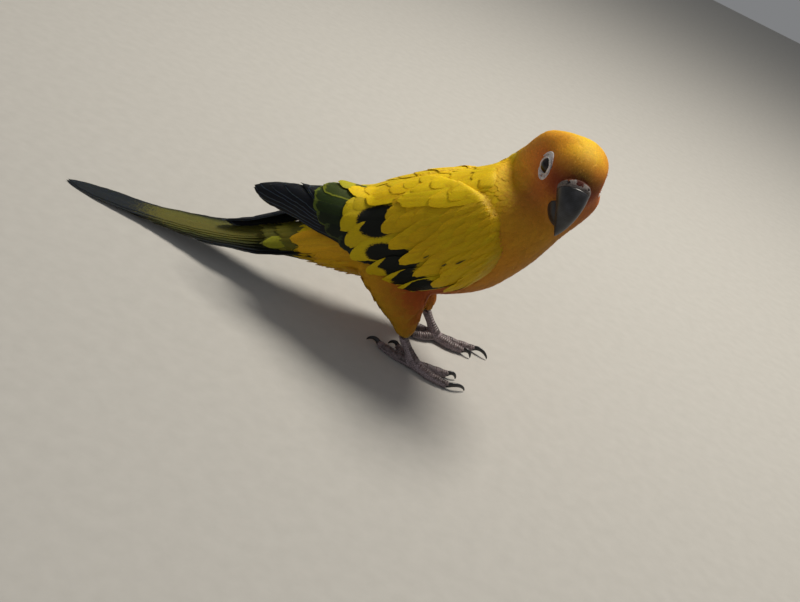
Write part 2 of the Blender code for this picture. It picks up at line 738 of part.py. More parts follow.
def wing_vanes(side_name):
    """Every vane of one folded wing, tier by tier."""
    wing = Wing(side_name)
    stretch = (WING_BEND - wing.tip) / (WING_BEND - WING_TIP["right"])

    def at(share, across):
        top, low = wing_edges(share)
        return wing.tip + (WING_BEND - wing.tip) * share, math.degrees(top + (low - top) * across)

    vanes = []
    kind = PRIMARIES
    for i in range(kind["count"]):
        tip = kind["tips"][0] + (kind["tips"][1] - kind["tips"][0]) * i / (kind["count"] - 1)
        aside = kind["half"] + i * kind["pitch"]
        path = []
        for k in range(7):
            share = kind["root"] + (tip - kind["root"]) * k / 6
            x, top = at(share, 0.0)
            low = at(share, 1.0)[1]
            width = math.radians(low - top) * wing.radius(x, math.radians((low + top) / 2), 0.0)
            path.append((x, low - (low - top) * min(0.5, aside / max(width, 1.0))))
        lift = kind["lift"] + i * kind["step"]
        vanes.append(wing_vane("primary_%d" % i, wing, path, kind["half"], lift, 0.0, LONG_VANE, free=True))
    kind = SECONDARIES
    for i in range(kind["count"]):
        t = i / (kind["count"] - 1)
        root = [a + (b - a) * t for a, b in zip(*kind["roots"])]
        tip = [a + (b - a) * t for a, b in zip(*kind["tips"])]
        path = [at(root[0] + (tip[0] - root[0]) * k, root[1] + (tip[1] - root[1]) * k) for k in (0.0, 0.5, 1.0)]
        name = "secondary_%d" % i
        vanes.append(wing_vane(name, wing, path, kind["half"], kind["lift"], kind["tilt"], MIDDLE_VANE))
    for kind in COVERT_TIERS:
        for i in range(kind["count"]):
            x, angle = catmull(kind["tips"], (len(kind["tips"]) - 1) * i / (kind["count"] - 1))
            x = WING_BEND + (x - WING_BEND) * stretch
            ahead, turn = kind["way"]
            path = [(x + ahead, angle + turn), (x + ahead / 2, angle + turn / 2), (x, angle)]
            name = "%s_%d" % (kind["name"], i)
            vanes.append(wing_vane(name, wing, path, kind["half"], kind["lift"], kind["tilt"], SHORT_VANE))
    return vanes


def tail_rows():
    """Tail stations, with the first just behind the end of the torso."""
    way = BODY_ROWS[0][8:11]
    start = BODY_ROWS[0][:3] - way * (GAP / MM + 0.05)
    return np.array([(start[0], start[2], *TAIL_ROOT)] + TAIL_LINE)


def tail_frame(share):
    """Middle, half width, half depth and way of the tail at a share of its length."""
    rows = tail_rows()
    u = (len(rows) - 1) * share
    x, z, half, deep = catmull(rows, u)
    step = catmull(rows, min(u + 0.05, len(rows) - 1)) - catmull(rows, max(u - 0.05, 0.0))
    way = unit(np.array([step[0], 0.0, step[1]]))
    way = -BODY_ROWS[0][8:11] if share == 0.0 else way
    return np.array([x, 0.0, z]), half, deep, way


def tail_plug(name, material):
    """Short root of the tail that holds its feathers."""
    rings = []
    for share, size in TAIL_PLUG:
        middle, half, deep, way = tail_frame(share)
        top = np.cross(way, np.array([0.0, 1.0, 0.0]))
        ring = []
        for k in range(16):
            angle = 2 * math.pi * (k + 0.5) / 16
            side = np.array([0.0, half * math.sin(angle), 0.0])
            ring.append((middle + size * (side + deep * math.cos(angle) * top)) * MM)
        rings.append(ring)
    verts, faces = loft_mesh(rings)
    return make_object(name, verts, faces, material)


def tail_vanes():
    """The tail's feathers, from the middle pair on top to the outer pair."""
    frames = [tail_frame(i / 80) for i in range(81)]
    xs = [-f[0][0] for f in frames]
    tops = [f[0][2] + f[2] for f in frames]
    halves = [f[1] for f in frames]
    vanes = []
    for pair, tip in enumerate(TAIL_TIPS):
        for side in (-1.0, 1.0):

            def spot(share, offset, face, pair=pair, tip=tip, side=side):
                x = TAIL_ROOT_X + (tip - TAIL_ROOT_X) * share
                room = max(float(np.interp(-x, xs, halves)) - TAIL_FEATHER_HALF, 0.0)
                y = side * (0.6 + room * pair / (len(TAIL_TIPS) - 1)) + offset
                top = float(np.interp(-x, xs, tops)) - pair * TAIL_PAIR_STEP - TAIL_DROOP * abs(y)
                top -= TAIL_SIDE_STEP if side < 0 else 0.0
                top -= max(0.0, 1.0 - 8.0 * share)
                z = max(top, VANE_THICKNESS) - (VANE_THICKNESS if face == 1 else 0.0)
                return np.array([x, y, z]) * MM

            vanes.append(vane("tail_feather_%d_%d" % (pair, side), spot, TAIL_FEATHER_HALF, LONG_VANE))
    return vanes


def sleeve(v):
    """Middle, upward way, half width, reach up and down of the tail coverts' bed.

    v counts body stations: it is negative on the torso and positive over the tail.
    """
    end = BODY_ROWS[0]
    row = catmull(BODY_ROWS, max(-v, 0.0))
    if v <= 0:
        way = row[8:11]
        return row[:3], np.array([-way[2], 0.0, way[0]]), row[5], row[4], row[3]
    x, z, half, deep = TAIL_LINE[0]
    half, deep = half + TAIL_COVERT_CLEARANCE, deep + TAIL_COVERT_CLEARANCE
    middle = np.array([end[0] + (x - end[0]) * v, 0.0, end[2] + (z - end[2]) * v])
    way = end[8:11]
    sizes = [a + (b - a) * v for a, b in ((end[5], half), (end[4], deep), (end[3], deep))]
    return (middle, np.array([-way[2], 0.0, way[0]]), *sizes)


def tail_covert_vanes():
    """Coverts over and under the root of the tail, rooted in the torso."""
    vanes = []
    for kind in TAIL_COVERTS:
        for i in range(kind["count"]):
            aside = 2.0 * i / (kind["count"] - 1) - 1.0
            turn = math.radians(kind["middle"] + kind["spread"] * aside)
            tip = kind["tips"][0] + (kind["tips"][1] - kind["tips"][0]) * abs(aside)

            def spot(share, offset, face, kind=kind, turn=turn, tip=tip, aside=aside):
                v = kind["root"] + (tip - kind["root"]) * share
                middle, up, half, above, below = sleeve(v)
                angle = turn + offset / half
                reach = above if math.cos(angle) > 0 else below
                lift = -1.0 + 1.7 * share - TAIL_SIDE_STEP * 2 * abs(aside)
                if face == 1:
                    lift -= VANE_THICKNESS + max(0.0, -1.5 * v)
                side = np.array([0.0, (half + lift) * math.sin(angle), 0.0])
                return (middle + side + (reach + lift) * math.cos(angle) * up) * MM

            vanes.append(vane("%s_%d" % (kind["name"], i), spot, kind["half"], MIDDLE_VANE))
    return vanes


def leg_point(side_name, x, y, z):
    sign, shift, narrow = LEG_SIDES[side_name]
    share = 1.0 - min(max((z - 14.0) / 30.0, 0.0), 1.0)
    return np.array([x + shift * share, sign * (y + narrow * share), z])


def thigh(name, side_name, material):
    rows = np.array(THIGH)
    count = 12
    rings = []
    for i in range(count + 1):
        x, y, z, long, wide = catmull(rows, (len(rows) - 1) * i / count)
        centre = leg_point(side_name, x, y, z)
        ring = []
        for k in range(16):
            angle = 2 * math.pi * k / 16
            ring.append((centre + np.array([long * math.cos(angle), wide * math.sin(angle), 0.0])) * MM)
        rings.append(ring)
    verts, faces = loft_mesh(rings)
    obj = make_object(name, verts, faces, material)
    cutter = body_piece("flank_cutter", 0.0, TORSO_END, swell=GAP)
    space = wing_shell("wing_space", side_name, WING_MARGIN)
    combine(obj, [cutter, space], "DIFFERENCE")
    return obj


def toe_path(foot, way):
    """Centres of a toe from the foot's middle to its end, lifted off the floor."""
    middle, end = (np.array(p) for p in way[:2])
    start = np.array(foot[:2])
    flat = [start, start + (middle - start) * 0.5, middle, (middle + end) / 2, end]
    heights = [3.0, 2.5, 2.2, 2.1, 1.9]
    return [np.array([p[0], p[1], h]) for p, h in zip(flat, heights)]


def foot(side_name, material):
    centre = FOOT_CENTRE[side_name]
    top = leg_point(side_name, *TARSUS_TOP)
    bottom = np.array(centre)
    shank = [top, top + (bottom - top) * 0.45, top + (bottom - top) * 0.85, bottom + np.array([2.0, 0, -0.6])]
    radii = [TARSUS_RADII[0], TARSUS_RADII[1], TARSUS_RADII[2], 2.6]
    base = make_object("foot_" + side_name, *loft_mesh(path_rings(shank, radii, radii, 12, np.array([0.0, 0.0, -1.0]))), material)
    toes = []
    for toe_name, way in TOES[side_name].items():
        path = toe_path(centre, way)
        radii = [TOE_RADII[0], TOE_RADII[0], TOE_RADII[1], TOE_RADII[1] * 0.95, TOE_RADII[2]]
        toes.append(make_object(toe_name, *loft_mesh(path_rings(path, radii, radii, 12))))
    combine(base, toes, "UNION")
    return base


def claw(side_name, toe_name, way, material):
    """Curved claw that starts just past the end of its toe and ends near the floor."""
    path = toe_path(FOOT_CENTRE[side_name], way)
    end, tip = path[-1], np.array([way[2][0], way[2][1], 0.5])
    start_way = unit(path[-1] - path[-2])
    start = end + start_way * (GAP / MM + 0.05)
    centres, radii = [], []
    count = 6
    for i in range(count + 1):
        t = i / count
        p = start * (1 - t) + tip * t
        p = p + np.array([0, 0, CLAW_RISE * math.sin(math.pi * t)]) + start_way * 3.0 * math.sin(math.pi * t) * (1 - t)
        centres.append(p)
        radii.append(CLAW_RADIUS * (1 - t) ** 0.7 + 0.2)
    rings = path_rings(centres, radii, [r * 0.85 for r in radii], 8, start_way)
    return make_object("claw_" + side_name + "_" + toe_name, *loft_mesh(rings), material)


def build_head(material):
    """Head with bare rings, lids, eye sockets and the seat of the bill."""
    last = len(BODY_ROWS) - 1
    head = body_piece("head", NECK_END + CUT_SHARE, last, material, pointed=True)
    raised, cut = [], []
    for side in (-1.0, 1.0):
        axes, centre = eye_axes(side), eye_centre(side)
        raised.append(ball("bare_ring", centre + axes[:, 2] * RING_OFFSET * MM, BARE_RING, 16, 6, None, axes))
        raised.append(lid_ring("lid", side))
        cut.append(ball("eye_socket", centre, (EYE_RADIUS + GAP / MM,) * 3, 14, 8))
        cut.append(ball("eye_opening", centre, (*LID_OPENING, 3 * EYE_RADIUS), 14, 4, None, axes))
        cut.append(mouth_line("mouth_line", side))
    combine(head, raised, "UNION", "MANIFOLD")
    cut.append(upper_bill("upper_seat", 0.0, 0.9, BILL_SEAT_SWELL))
    cut.append(lower_bill("lower_seat", GAP / MM))
    combine(head, cut, "DIFFERENCE", "MANIFOLD")
    return head


def build_bill(horn, skin):
    """Cere with nostrils, upper bill and the lower bill that fits under it."""
    cere = upper_bill("cere", CERE_START, CERE_END, CERE_SWELL, skin)
    combine(cere, [nostril("nostril_right", -1.0), nostril("nostril_left", 1.0)], "DIFFERENCE")
    upper_bill("bill_upper", CERE_END + CERE_GAP_SHARE, 1.0, 0.0, horn)
    lower = lower_bill("bill_lower", 0.0, horn)
    combine(lower, [upper_bill("upper_space", 0.0, 1.0, BILL_SEAT_SWELL)], "DIFFERENCE")


def centre_model():
    """Move everything so that the middle of the model's box stands on the origin."""
    objects = list(bpy.context.scene.collection.objects)
    corners = np.array([vert.co[:] for obj in objects for vert in obj.data.vertices])
    low, high = corners.min(axis=0), corners.max(axis=0)
    for obj in objects:
        obj.location = (-(low[0] + high[0]) / 2, -(low[1] + high[1]) / 2, 0.0)
    bpy.context.view_layer.update()


def main():
    for old in list(bpy.data.objects):
        bpy.data.objects.remove(old, do_unlink=True)
    gold = plain_material("golden_feathers", (0.80, 0.36, 0.02), 0.8)
    orange = plain_material("orange_feathers", (0.72, 0.20, 0.02), 0.8)
    yellow = plain_material("yellow_feathers", (0.75, 0.55, 0.01), 0.8)
    olive = plain_material("olive_feathers", (0.08, 0.10, 0.02), 0.7)
    horn = plain_material("dark_horn", (0.02, 0.02, 0.025), 0.4)
    skin = plain_material("grey_skin", (0.45, 0.42, 0.40), 0.6)
    leg_skin = plain_material("leg_skin", (0.25, 0.18, 0.16), 0.7)
    dark_eye = plain_material("dark_eye", (0.01, 0.01, 0.01), 0.1)
    torso = body_piece("torso", 0.0, TORSO_END, gold)
    combine(torso, tail_covert_vanes(), "UNION", "MANIFOLD")
    body_piece("neck", TORSO_END + CUT_SHARE, NECK_END, gold)
    build_head(orange)
    build_bill(horn, skin)
    ball("eye_right", eye_centre(-1.0), (EYE_RADIUS,) * 3, 16, 10, dark_eye)
    ball("eye_left", eye_centre(1.0), (EYE_RADIUS,) * 3, 16, 10, dark_eye)
    for side_name in ("right", "left"):
        wing = wing_shell("wing_" + side_name, side_name, None, yellow)
        combine(wing, wing_vanes(side_name), "UNION", "MANIFOLD")
        thigh("thigh_" + side_name, side_name, gold)
        foot(side_name, leg_skin)
        for toe_name, way in TOES[side_name].items():
            claw(side_name, toe_name, way, horn)
    tail = tail_plug("tail", olive)
    combine(tail, tail_vanes(), "UNION", "MANIFOLD")
    centre_model()


main()
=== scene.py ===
# %% [markdown]
# # A sun conure that turns its head to look at you
#
# The bird stands on two feet, with the tip of its tail on the floor and its head
# turned to its right. Everything is still. The imported solids give the true size and
# place of each part, and this lesson dresses them: one skin, a coat of some ten
# thousand small feathers, wings and tail feather by feather, then bill, eyes and feet.

# %% Load the imported solids, and read a part's box
import math

import bmesh
import bpy
import numpy as np
from mathutils import Matrix, Vector
from mathutils.bvhtree import BVHTree
from mathutils.kdtree import KDTree


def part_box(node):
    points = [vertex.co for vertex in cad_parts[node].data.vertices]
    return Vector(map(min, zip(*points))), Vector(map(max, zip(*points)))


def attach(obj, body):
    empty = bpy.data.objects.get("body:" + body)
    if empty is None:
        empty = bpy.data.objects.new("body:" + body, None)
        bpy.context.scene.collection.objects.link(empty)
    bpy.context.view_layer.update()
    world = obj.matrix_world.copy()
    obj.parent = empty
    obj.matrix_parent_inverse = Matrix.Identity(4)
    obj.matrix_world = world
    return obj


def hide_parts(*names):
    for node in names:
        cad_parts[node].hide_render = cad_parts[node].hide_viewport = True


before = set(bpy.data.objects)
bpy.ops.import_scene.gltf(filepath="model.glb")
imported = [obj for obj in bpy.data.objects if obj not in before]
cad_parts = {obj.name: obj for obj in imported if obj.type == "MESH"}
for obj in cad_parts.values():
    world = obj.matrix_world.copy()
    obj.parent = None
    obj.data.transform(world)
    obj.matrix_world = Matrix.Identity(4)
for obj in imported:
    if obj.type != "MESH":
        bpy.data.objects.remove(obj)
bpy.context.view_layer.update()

MM = 0.001

# %% [markdown]
# ## Sizes that carry everything
#
# The bird was measured in its own frame, in millimetres: x forward, y to its left, z up,
# with the middle between the feet near zero. The solids use the same numbers. The body
# is a row of rings along a bent line, from the end of the tail's root up to the crown.
# Reading the same row here gives a smooth surface between the solids' facets, and at
# any point it also says which way is rearward, so feathers can be laid along it.

# %% The body's stations and the way the head faces
BODY_STATIONS = [
    (-101.0, 24.5, 7.0, 7.0, 11.0),
    (-91.0, 29.5, 10.0, 9.5, 13.0),
    (-76.0, 39.0, 15.5, 14.5, 18.0),
    (-58.0, 49.5, 23.0, 22.5, 23.0),
    (-39.0, 59.0, 29.0, 28.5, 27.0),
    (-19.0, 72.5, 30.0, 30.0, 28.5),
    (-5.5, 87.0, 25.5, 28.0, 26.0),
]
NECK_STATION = (3.5, -1.5, 101.0, 19.8, 24.0, 20.6, 0.3)
NECK_TURN = -25.0
HEAD_CENTRE = np.array((10.4, -6.2, 122.5))
HEAD_YAW, HEAD_PITCH, HEAD_ROLL = -84.0, 9.5, 3.5
HEAD_LEVELS = [
    (-12.0, -5.0, 21.0, 19.5, 19.0, 1.0),
    (-4.0, -5.0, 24.0, 17.5, 17.0, 0.8),
    (4.0, -4.0, 23.5, 16.5, 15.8, 0.45),
]
CROWN_HEIGHT = 14.0
CROWN_STEPS = (28.0, 54.0, 76.0, 88.0)
NAPE_BULGE = (12.5, 156.0, 30.0)


def unit(v):
    """The same direction with length 1, for one vector or a list of them."""
    v = np.asarray(v, dtype=float)
    return v / np.maximum(np.linalg.norm(v, axis=-1, keepdims=True), 1e-9)


def turned_head():
    """Forward, left and up of the turned head, as columns."""
    yaw, pitch, roll = (math.radians(a) for a in (HEAD_YAW, HEAD_PITCH, HEAD_ROLL))
    cy, sy, cp, sp = math.cos(yaw), math.sin(yaw), math.cos(pitch), math.sin(pitch)
    cr, sr = math.cos(roll), math.sin(roll)
    turn = np.array([[cy, -sy, 0], [sy, cy, 0], [0, 0, 1]])
    nod = np.array([[cp, 0, sp], [0, 1, 0], [-sp, 0, cp]])
    tilt = np.array([[1, 0, 0], [0, cr, -sr], [0, sr, cr]])
    return turn @ nod @ tilt


HEAD_AXES = turned_head()


def head_point(local):
    """Bird-frame points of points given as forward, left and up of the head's centre."""
    return HEAD_CENTRE + np.asarray(local, dtype=float) @ HEAD_AXES.T


def in_head(points):
    """Forward, left and up of the head's centre for bird-frame points."""
    return (np.asarray(points) - HEAD_CENTRE) @ HEAD_AXES


# %% Smooth values between stations, and one ring of the body
def between(values, u):
    """Smooth values at positions u on a curve through evenly numbered rows."""
    values, u = np.asarray(values, dtype=float), np.asarray(u, dtype=float)
    last = len(values) - 1
    i = np.clip(np.floor(u).astype(int), 0, last - 1)
    t = (u - i)[..., None]
    here, there = values[i], values[i + 1]
    before = np.where((i > 0)[..., None], values[np.maximum(i - 1, 0)], 2 * here - there)
    after = np.where((i + 2 <= last)[..., None], values[np.minimum(i + 2, last)], 2 * there - here)
    slope0, slope1 = 0.5 * (there - before), 0.5 * (after - here)
    return (
        (2 * t**3 - 3 * t**2 + 1) * here
        + (t**3 - 2 * t**2 + t) * slope0
        + (3 * t**2 - 2 * t**3) * there
        + (t**3 - t**2) * slope1
    )


def body_rows():
    """Every station: centre, reach to breast, back and side, bulge, turn and way."""
    rows = []
    for i, (x, z, breast, back, half) in enumerate(BODY_STATIONS):
        ahead = BODY_STATIONS[min(i + 1, len(BODY_STATIONS) - 1)]
        behind = BODY_STATIONS[max(i - 1, 0)]
        way = unit((ahead[0] - behind[0], 0.0, ahead[1] - behind[1]))
        rows.append((x, 0.0, z, breast, back, half, 0.0, 0.0, *way))
    up = HEAD_AXES[:, 2]
    rows.append((*NECK_STATION, NECK_TURN, *unit(np.array(rows[-1][8:11]) + up)))
    for level, middle, *shape in HEAD_LEVELS:
        rows.append((*head_point((middle, 0, level)), *shape, HEAD_YAW, *up))
    level, middle, *shape = HEAD_LEVELS[-1]
    for step in CROWN_STEPS:
        rise, shrink = math.sin(math.radians(step)), math.cos(math.radians(step))
        centre = head_point((middle * shrink, 0, level + CROWN_HEIGHT * rise))
        rows.append((*centre, *(reach * shrink for reach in shape), HEAD_YAW, *up))
    return np.array(rows)


BODY_ROWS = body_rows()
CROWN = len(BODY_ROWS) - 1


def body_frame(u):
    """Row, breastward and leftward directions at station number u."""
    row = between(BODY_ROWS, u)
    way = unit(row[8:11])
    side = np.array([0.0, 1.0, 0.0])
    side = unit(side - way * (side @ way))
    return row, np.cross(side, way), side


def body_ring(u, points=96):
    """Points round the body at station number u, from the breast leftward."""
    row, front, side = body_frame(u)
    angle = np.linspace(0.0, 360.0, points, endpoint=False)
    c, s = np.cos(np.radians(angle - row[7])), np.sin(np.radians(angle - row[7]))
    ahead = np.where(c > 0, row[3], row[4])
    radius = 1.0 / np.sqrt((c / ahead) ** 2 + (s / row[5]) ** 2)
    radius += NAPE_BULGE[0] * row[6] * np.exp(-(((angle - NAPE_BULGE[1]) / NAPE_BULGE[2]) ** 2))
    c, s = np.cos(np.radians(angle)), np.sin(np.radians(angle))
    return row[:3] + radius[:, None] * (c[:, None] * front + s[:, None] * side)


print("stations from tail to crown:", len(BODY_ROWS))

# %% [markdown]
# ## Meshes from lists of points
#
# Nearly all pieces here are grids of points that some rule bends into place: a tube of
# rings, a patch, a vane. Numpy works out all points of a piece at once, which is why
# ten thousand feathers take seconds. A few helpers turn such arrays into Blender
# meshes, and carry the numbers that the materials read: a colour at each point, or a
# position across and along a feather.

# %% Bird frame to scene, and meshes
eye_low, eye_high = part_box("eye_right")
EYE_PLACE = (3.2, 12.1, 2.0)
SHIFT = np.array((eye_low + eye_high) / 2) - head_point((EYE_PLACE[0], -EYE_PLACE[1], EYE_PLACE[2])) * MM
print("bird frame sits at", SHIFT.round(5), "in the scene")


def grid_faces(rows, columns, closed=False):
    """Triangles over rows of points; closed joins each row's end to its start."""
    i, k = np.meshgrid(np.arange(rows - 1), np.arange(columns if closed else columns - 1), indexing="ij")
    a, b = i * columns + k, i * columns + (k + 1) % columns
    quads = np.stack([a, b, b + columns, a + columns], -1).reshape(-1, 4)
    return np.concatenate([quads[:, [0, 1, 2]], quads[:, [0, 2, 3]]])


def tube(rings):
    """Closed tube through rings, with a middle point in each end."""
    rings = np.asarray(rings)
    rows, columns = rings.shape[:2]
    points = np.concatenate([rings.reshape(-1, 3), rings[:1].mean(axis=1), rings[-1:].mean(axis=1)])
    k = np.arange(columns)
    after, end = (k + 1) % columns, (rows - 1) * columns
    first = np.stack([after, k, np.full(columns, rows * columns)], 1)
    last = np.stack([end + k, end + after, np.full(columns, rows * columns + 1)], 1)
    return points, np.concatenate([grid_faces(rows, columns, True), first, last])


def outward(points, faces):
    """The faces, turned round if the closed surface that they make is inside out."""
    a, b, c = (points[faces[:, i]] for i in range(3))
    volume = np.einsum("ij,ij->i", a - points.mean(axis=0), np.cross(b - a, c - a)).sum()
    return faces if volume > 0 else faces[:, ::-1]


def make_piece(name, points, faces, material, sharp=None, place=True):
    """New object whose place is in its mesh. Points are in the bird frame in mm."""
    points = np.asarray(points, dtype=float)
    points = points * MM + SHIFT if place else points
    mesh = bpy.data.meshes.new(name)
    mesh.vertices.add(len(points))
    mesh.vertices.foreach_set("co", points.astype(np.float32).ravel())
    mesh.loops.add(len(faces) * 3)
    mesh.loops.foreach_set("vertex_index", np.asarray(faces, dtype=np.int32).ravel())
    mesh.polygons.add(len(faces))
    mesh.polygons.foreach_set("loop_start", np.arange(0, len(faces) * 3, 3, dtype=np.int32))
    mesh.update(calc_edges=True)
    mesh.shade_smooth()
    if sharp is not None:
        mesh.set_sharp_from_angle(angle=math.radians(sharp))
    mesh.materials.append(material)
    obj = bpy.data.objects.new(name, mesh)
    bpy.context.scene.collection.objects.link(obj)
    return obj


def colour_points(obj, name, colours):
    """Give each point of a piece a colour that its material can read."""
    layer = obj.data.color_attributes.new(name=name, type="FLOAT_COLOR", domain="POINT")
    rgba = np.ones((len(obj.data.vertices), 4), np.float32)
    rgba[:, :3] = colours
    layer.data.foreach_set("color", rgba.ravel())


def number_points(obj, name, values):
    """Give each point of a piece a number that its material can read."""
    layer = obj.data.attributes.new(name, "FLOAT", "POINT")
    layer.data.foreach_set("value", np.asarray(values, dtype=np.float32))


def map_points(obj, name, uv):
    """Give a piece a UV map from one position for each point."""
    corner = np.empty(len(obj.data.loops), np.int32)
    obj.data.loops.foreach_get("vertex_index", corner)
    layer = obj.data.uv_layers.new(name=name)
    layer.data.foreach_set("uv", np.asarray(uv, dtype=np.float32)[corner].ravel())


def finish_modifiers(obj):
    """Turn what the modifiers make into the piece's own mesh."""
    mesh = bpy.data.meshes.new_from_object(obj.evaluated_get(bpy.context.evaluated_depsgraph_get()))
    old, obj.data = obj.data, mesh
    obj.modifiers.clear()
    bpy.data.meshes.remove(old)


def points_of(obj):
    """A piece's points in the bird frame in mm, and its points' normals."""
    count = len(obj.data.vertices)
    points, normals = np.empty(count * 3, np.float32), np.empty(count * 3, np.float32)
    obj.data.vertices.foreach_get("co", points)
    obj.data.vertices.foreach_get("normal", normals)
    return (points.reshape(-1, 3).astype(float) - SHIFT) / MM, normals.reshape(-1, 3).astype(float)


# %% [markdown]
# ## The photographer's place, the floor and the light
#
# The camera was fitted to the photograph first: it looks down at the bird's right side
# from about half a metre, rolled by 27 degrees. The light comes softly from above and
# behind, so the back and the top of the wing glow, and a weaker light fills the breast.

# %% Camera, floor and lights
VIEW_RIGHT = np.array((0.99920834, -0.03978301, 0.0))
VIEW_UP = np.array((0.01836975, 0.46138307, 0.88701083))
VIEW_AHEAD = np.array((0.03528796, 0.88630862, -0.46174861))
VIEW_PLACE = np.array((-52.9408719, -473.2256745, 268.09665))
VIEW_ROLL = math.radians(27.0)


def linear(colour):
    """Linear light of an sRGB hex colour."""
    parts = [int(colour[i:i + 2], 16) / 255 for i in (1, 3, 5)]
    return tuple(c / 12.92 if c <= 0.04045 else ((c + 0.055) / 1.055) ** 2.4 for c in parts)


def place_camera():
    lens = bpy.data.cameras.new("photo_view")
    lens.lens, lens.sensor_width, lens.clip_start = 47.25, 36.0, 0.01
    camera = bpy.data.objects.new("photo_view", lens)
    bpy.context.scene.collection.objects.link(camera)
    c, s = math.cos(VIEW_ROLL), math.sin(VIEW_ROLL)
    axes = (c * VIEW_RIGHT + s * VIEW_UP, c * VIEW_UP - s * VIEW_RIGHT, -VIEW_AHEAD)
    matrix = Matrix.Identity(4)
    for i, axis in enumerate((*axes, VIEW_PLACE * MM + SHIFT)):
        for k in range(3):
            matrix[k][i] = axis[k]
    camera.matrix_world = matrix
    bpy.context.scene.camera = camera


def soft_light(name, place, aim, size, power, colour, mirrored=True):
    light = bpy.data.lights.new(name, "AREA")
    light.shape, light.size, light.energy, light.color = "DISK", size, power, linear(colour)
    obj = bpy.data.objects.new(name, light)
    bpy.context.scene.collection.objects.link(obj)
    obj.location = Vector(place)
    obj.rotation_mode = "QUATERNION"
    obj.rotation_quaternion = (Vector(aim) - obj.location).to_track_quat("-Z", "Y")
    obj.visible_glossy = mirrored


place_camera()
soft_light("window_above", (0.27, 0.45, 1.08), (0.0, 0.0, 0.06), 0.45, 17.0, "#FFF8EC")
soft_light("fill_front", (-0.35, -1.05, 0.65), (0.0, 0.0, 0.07), 1.0, 1.5, "#F4F6FF", mirrored=False)
bpy.context.scene.view_settings.view_transform = "Standard"
world = bpy.data.worlds.new("soft_studio")
world.use_nodes = True
world.node_tree.nodes["Background"].inputs["Color"].default_value = (*linear("#E9EBEE"), 1.0)
world.node_tree.nodes["Background"].inputs["Strength"].default_value = 0.26
bpy.context.scene.world = world


# %% Nodes in one call, and the floor's painted board
def node(tree, kind, inputs=(), **settings):
    """Add a node. Settings set its properties; inputs hold values or other nodes' sockets."""
    new = tree.nodes.new(kind)
    for name, value in settings.items():
        setattr(new, name, value)
    for socket, value in dict(inputs).items():
        if isinstance(value, bpy.types.NodeSocket):
            tree.links.new(value, new.inputs[socket])
        else:
            new.inputs[socket].default_value = value
    return new


def new_material(name, roughness, ior=1.5, **sockets):
    """Material with its Principled shader set; returns the material, its tree and shader."""
    material = bpy.data.materials.new(name)
    material.use_nodes = True
    tree = material.node_tree
    shader = tree.nodes["Principled BSDF"]
    shader.inputs["Roughness"].default_value = roughness
    shader.inputs["IOR"].default_value = ior
    for socket, value in sockets.items():
        shader.inputs[socket.replace("_", " ")].default_value = value
    return material, tree, shader


# Matt board under flat paint: a faint mottle of a few millimetres keeps it from looking blank.
board, tree, shader = new_material("painted_board", 0.85)
where = node(tree, "ShaderNodeTexCoord")
mottle = node(tree, "ShaderNodeTexNoise", {"Vector": where.outputs["Object"], "Scale": 140.0, "Detail": 3.0})
shade = node(tree, "ShaderNodeValToRGB", {"Fac": mottle.outputs[0]})
shade.color_ramp.elements[0].color = (*linear("#A4A29D"), 1.0)
shade.color_ramp.elements[1].color = (*linear("#AFADA8"), 1.0)
tree.links.new(shade.outputs["Color"], shader.inputs["Base Color"])
floor_points = np.array([(-2.0, -2.0, 0.0), (2.0, -2.0, 0.0), (2.0, 2.0, 0.0), (-2.0, 2.0, 0.0)])
floor = make_piece("floor", floor_points, np.array([(0, 1, 2), (0, 2, 3)]), board, place=False)

# %% [markdown]
# ## Markings: where each colour of the bird sits
#
# A sun conure is golden on breast and crown, lemon yellow on the back and orange red
# round the bill and eyes, with soft borders. A table of named places gives each one's
# colour, and the length and width of the feathers there. A point takes a mix of the
# places near it, so skin and coat share one set of markings with no picture needed.

# %% The table of places
BODY_PLACES = [
    # place, x, side, z, reach, colour, feather length and width in mm
    ("undertail", -108, 0, 12, 14, "#A08420", 9.0, 4.6),
    ("vent", -90, 0, 22, 15, "#C89214", 9.0, 4.4),
    ("rump", -92, 0, 38, 15, "#D6BC10", 9.0, 5.0),
    ("flank", -62, 20, 34, 16, "#CC8E16", 9.0, 4.4),
    # belly, low_breast, breast and thigh: their own orange, darkened further as painted shade of the underside
    ("belly", -48, 0, 27, 16, "#C07818", 8.5, 4.2),
    ("wing_flush", -26, 16, 42, 12, "#A8401A", 7.5, 3.8),
    ("low_breast", -8, 0, 46, 16, "#C06A1A", 8.0, 4.0),
    ("breast", 14, 0, 68, 17, "#BE7820", 7.5, 3.8),
    ("breast_side", 2, 23, 76, 12, "#D0841A", 7.0, 3.6),
    ("neck_front", 22, -2, 92, 12, "#C07824", 5.5, 2.8),
    ("neck_side", 6, 20, 98, 11, "#CC8C20", 5.5, 2.7),
    ("nape", -17, 0, 112, 13, "#F2BC14", 6.0, 3.0),
    ("mantle", -36, 0, 94, 18, "#F6CA02", 9.5, 5.0),
    ("back", -62, 0, 74, 20, "#F2CC05", 10.0, 5.4),
    ("thigh", -36, 18, 28, 11, "#BE8A1A", 6.0, 3.0),
    ("shin", -27, 20, 16, 5, "#B0852E", 3.2, 1.7),
]
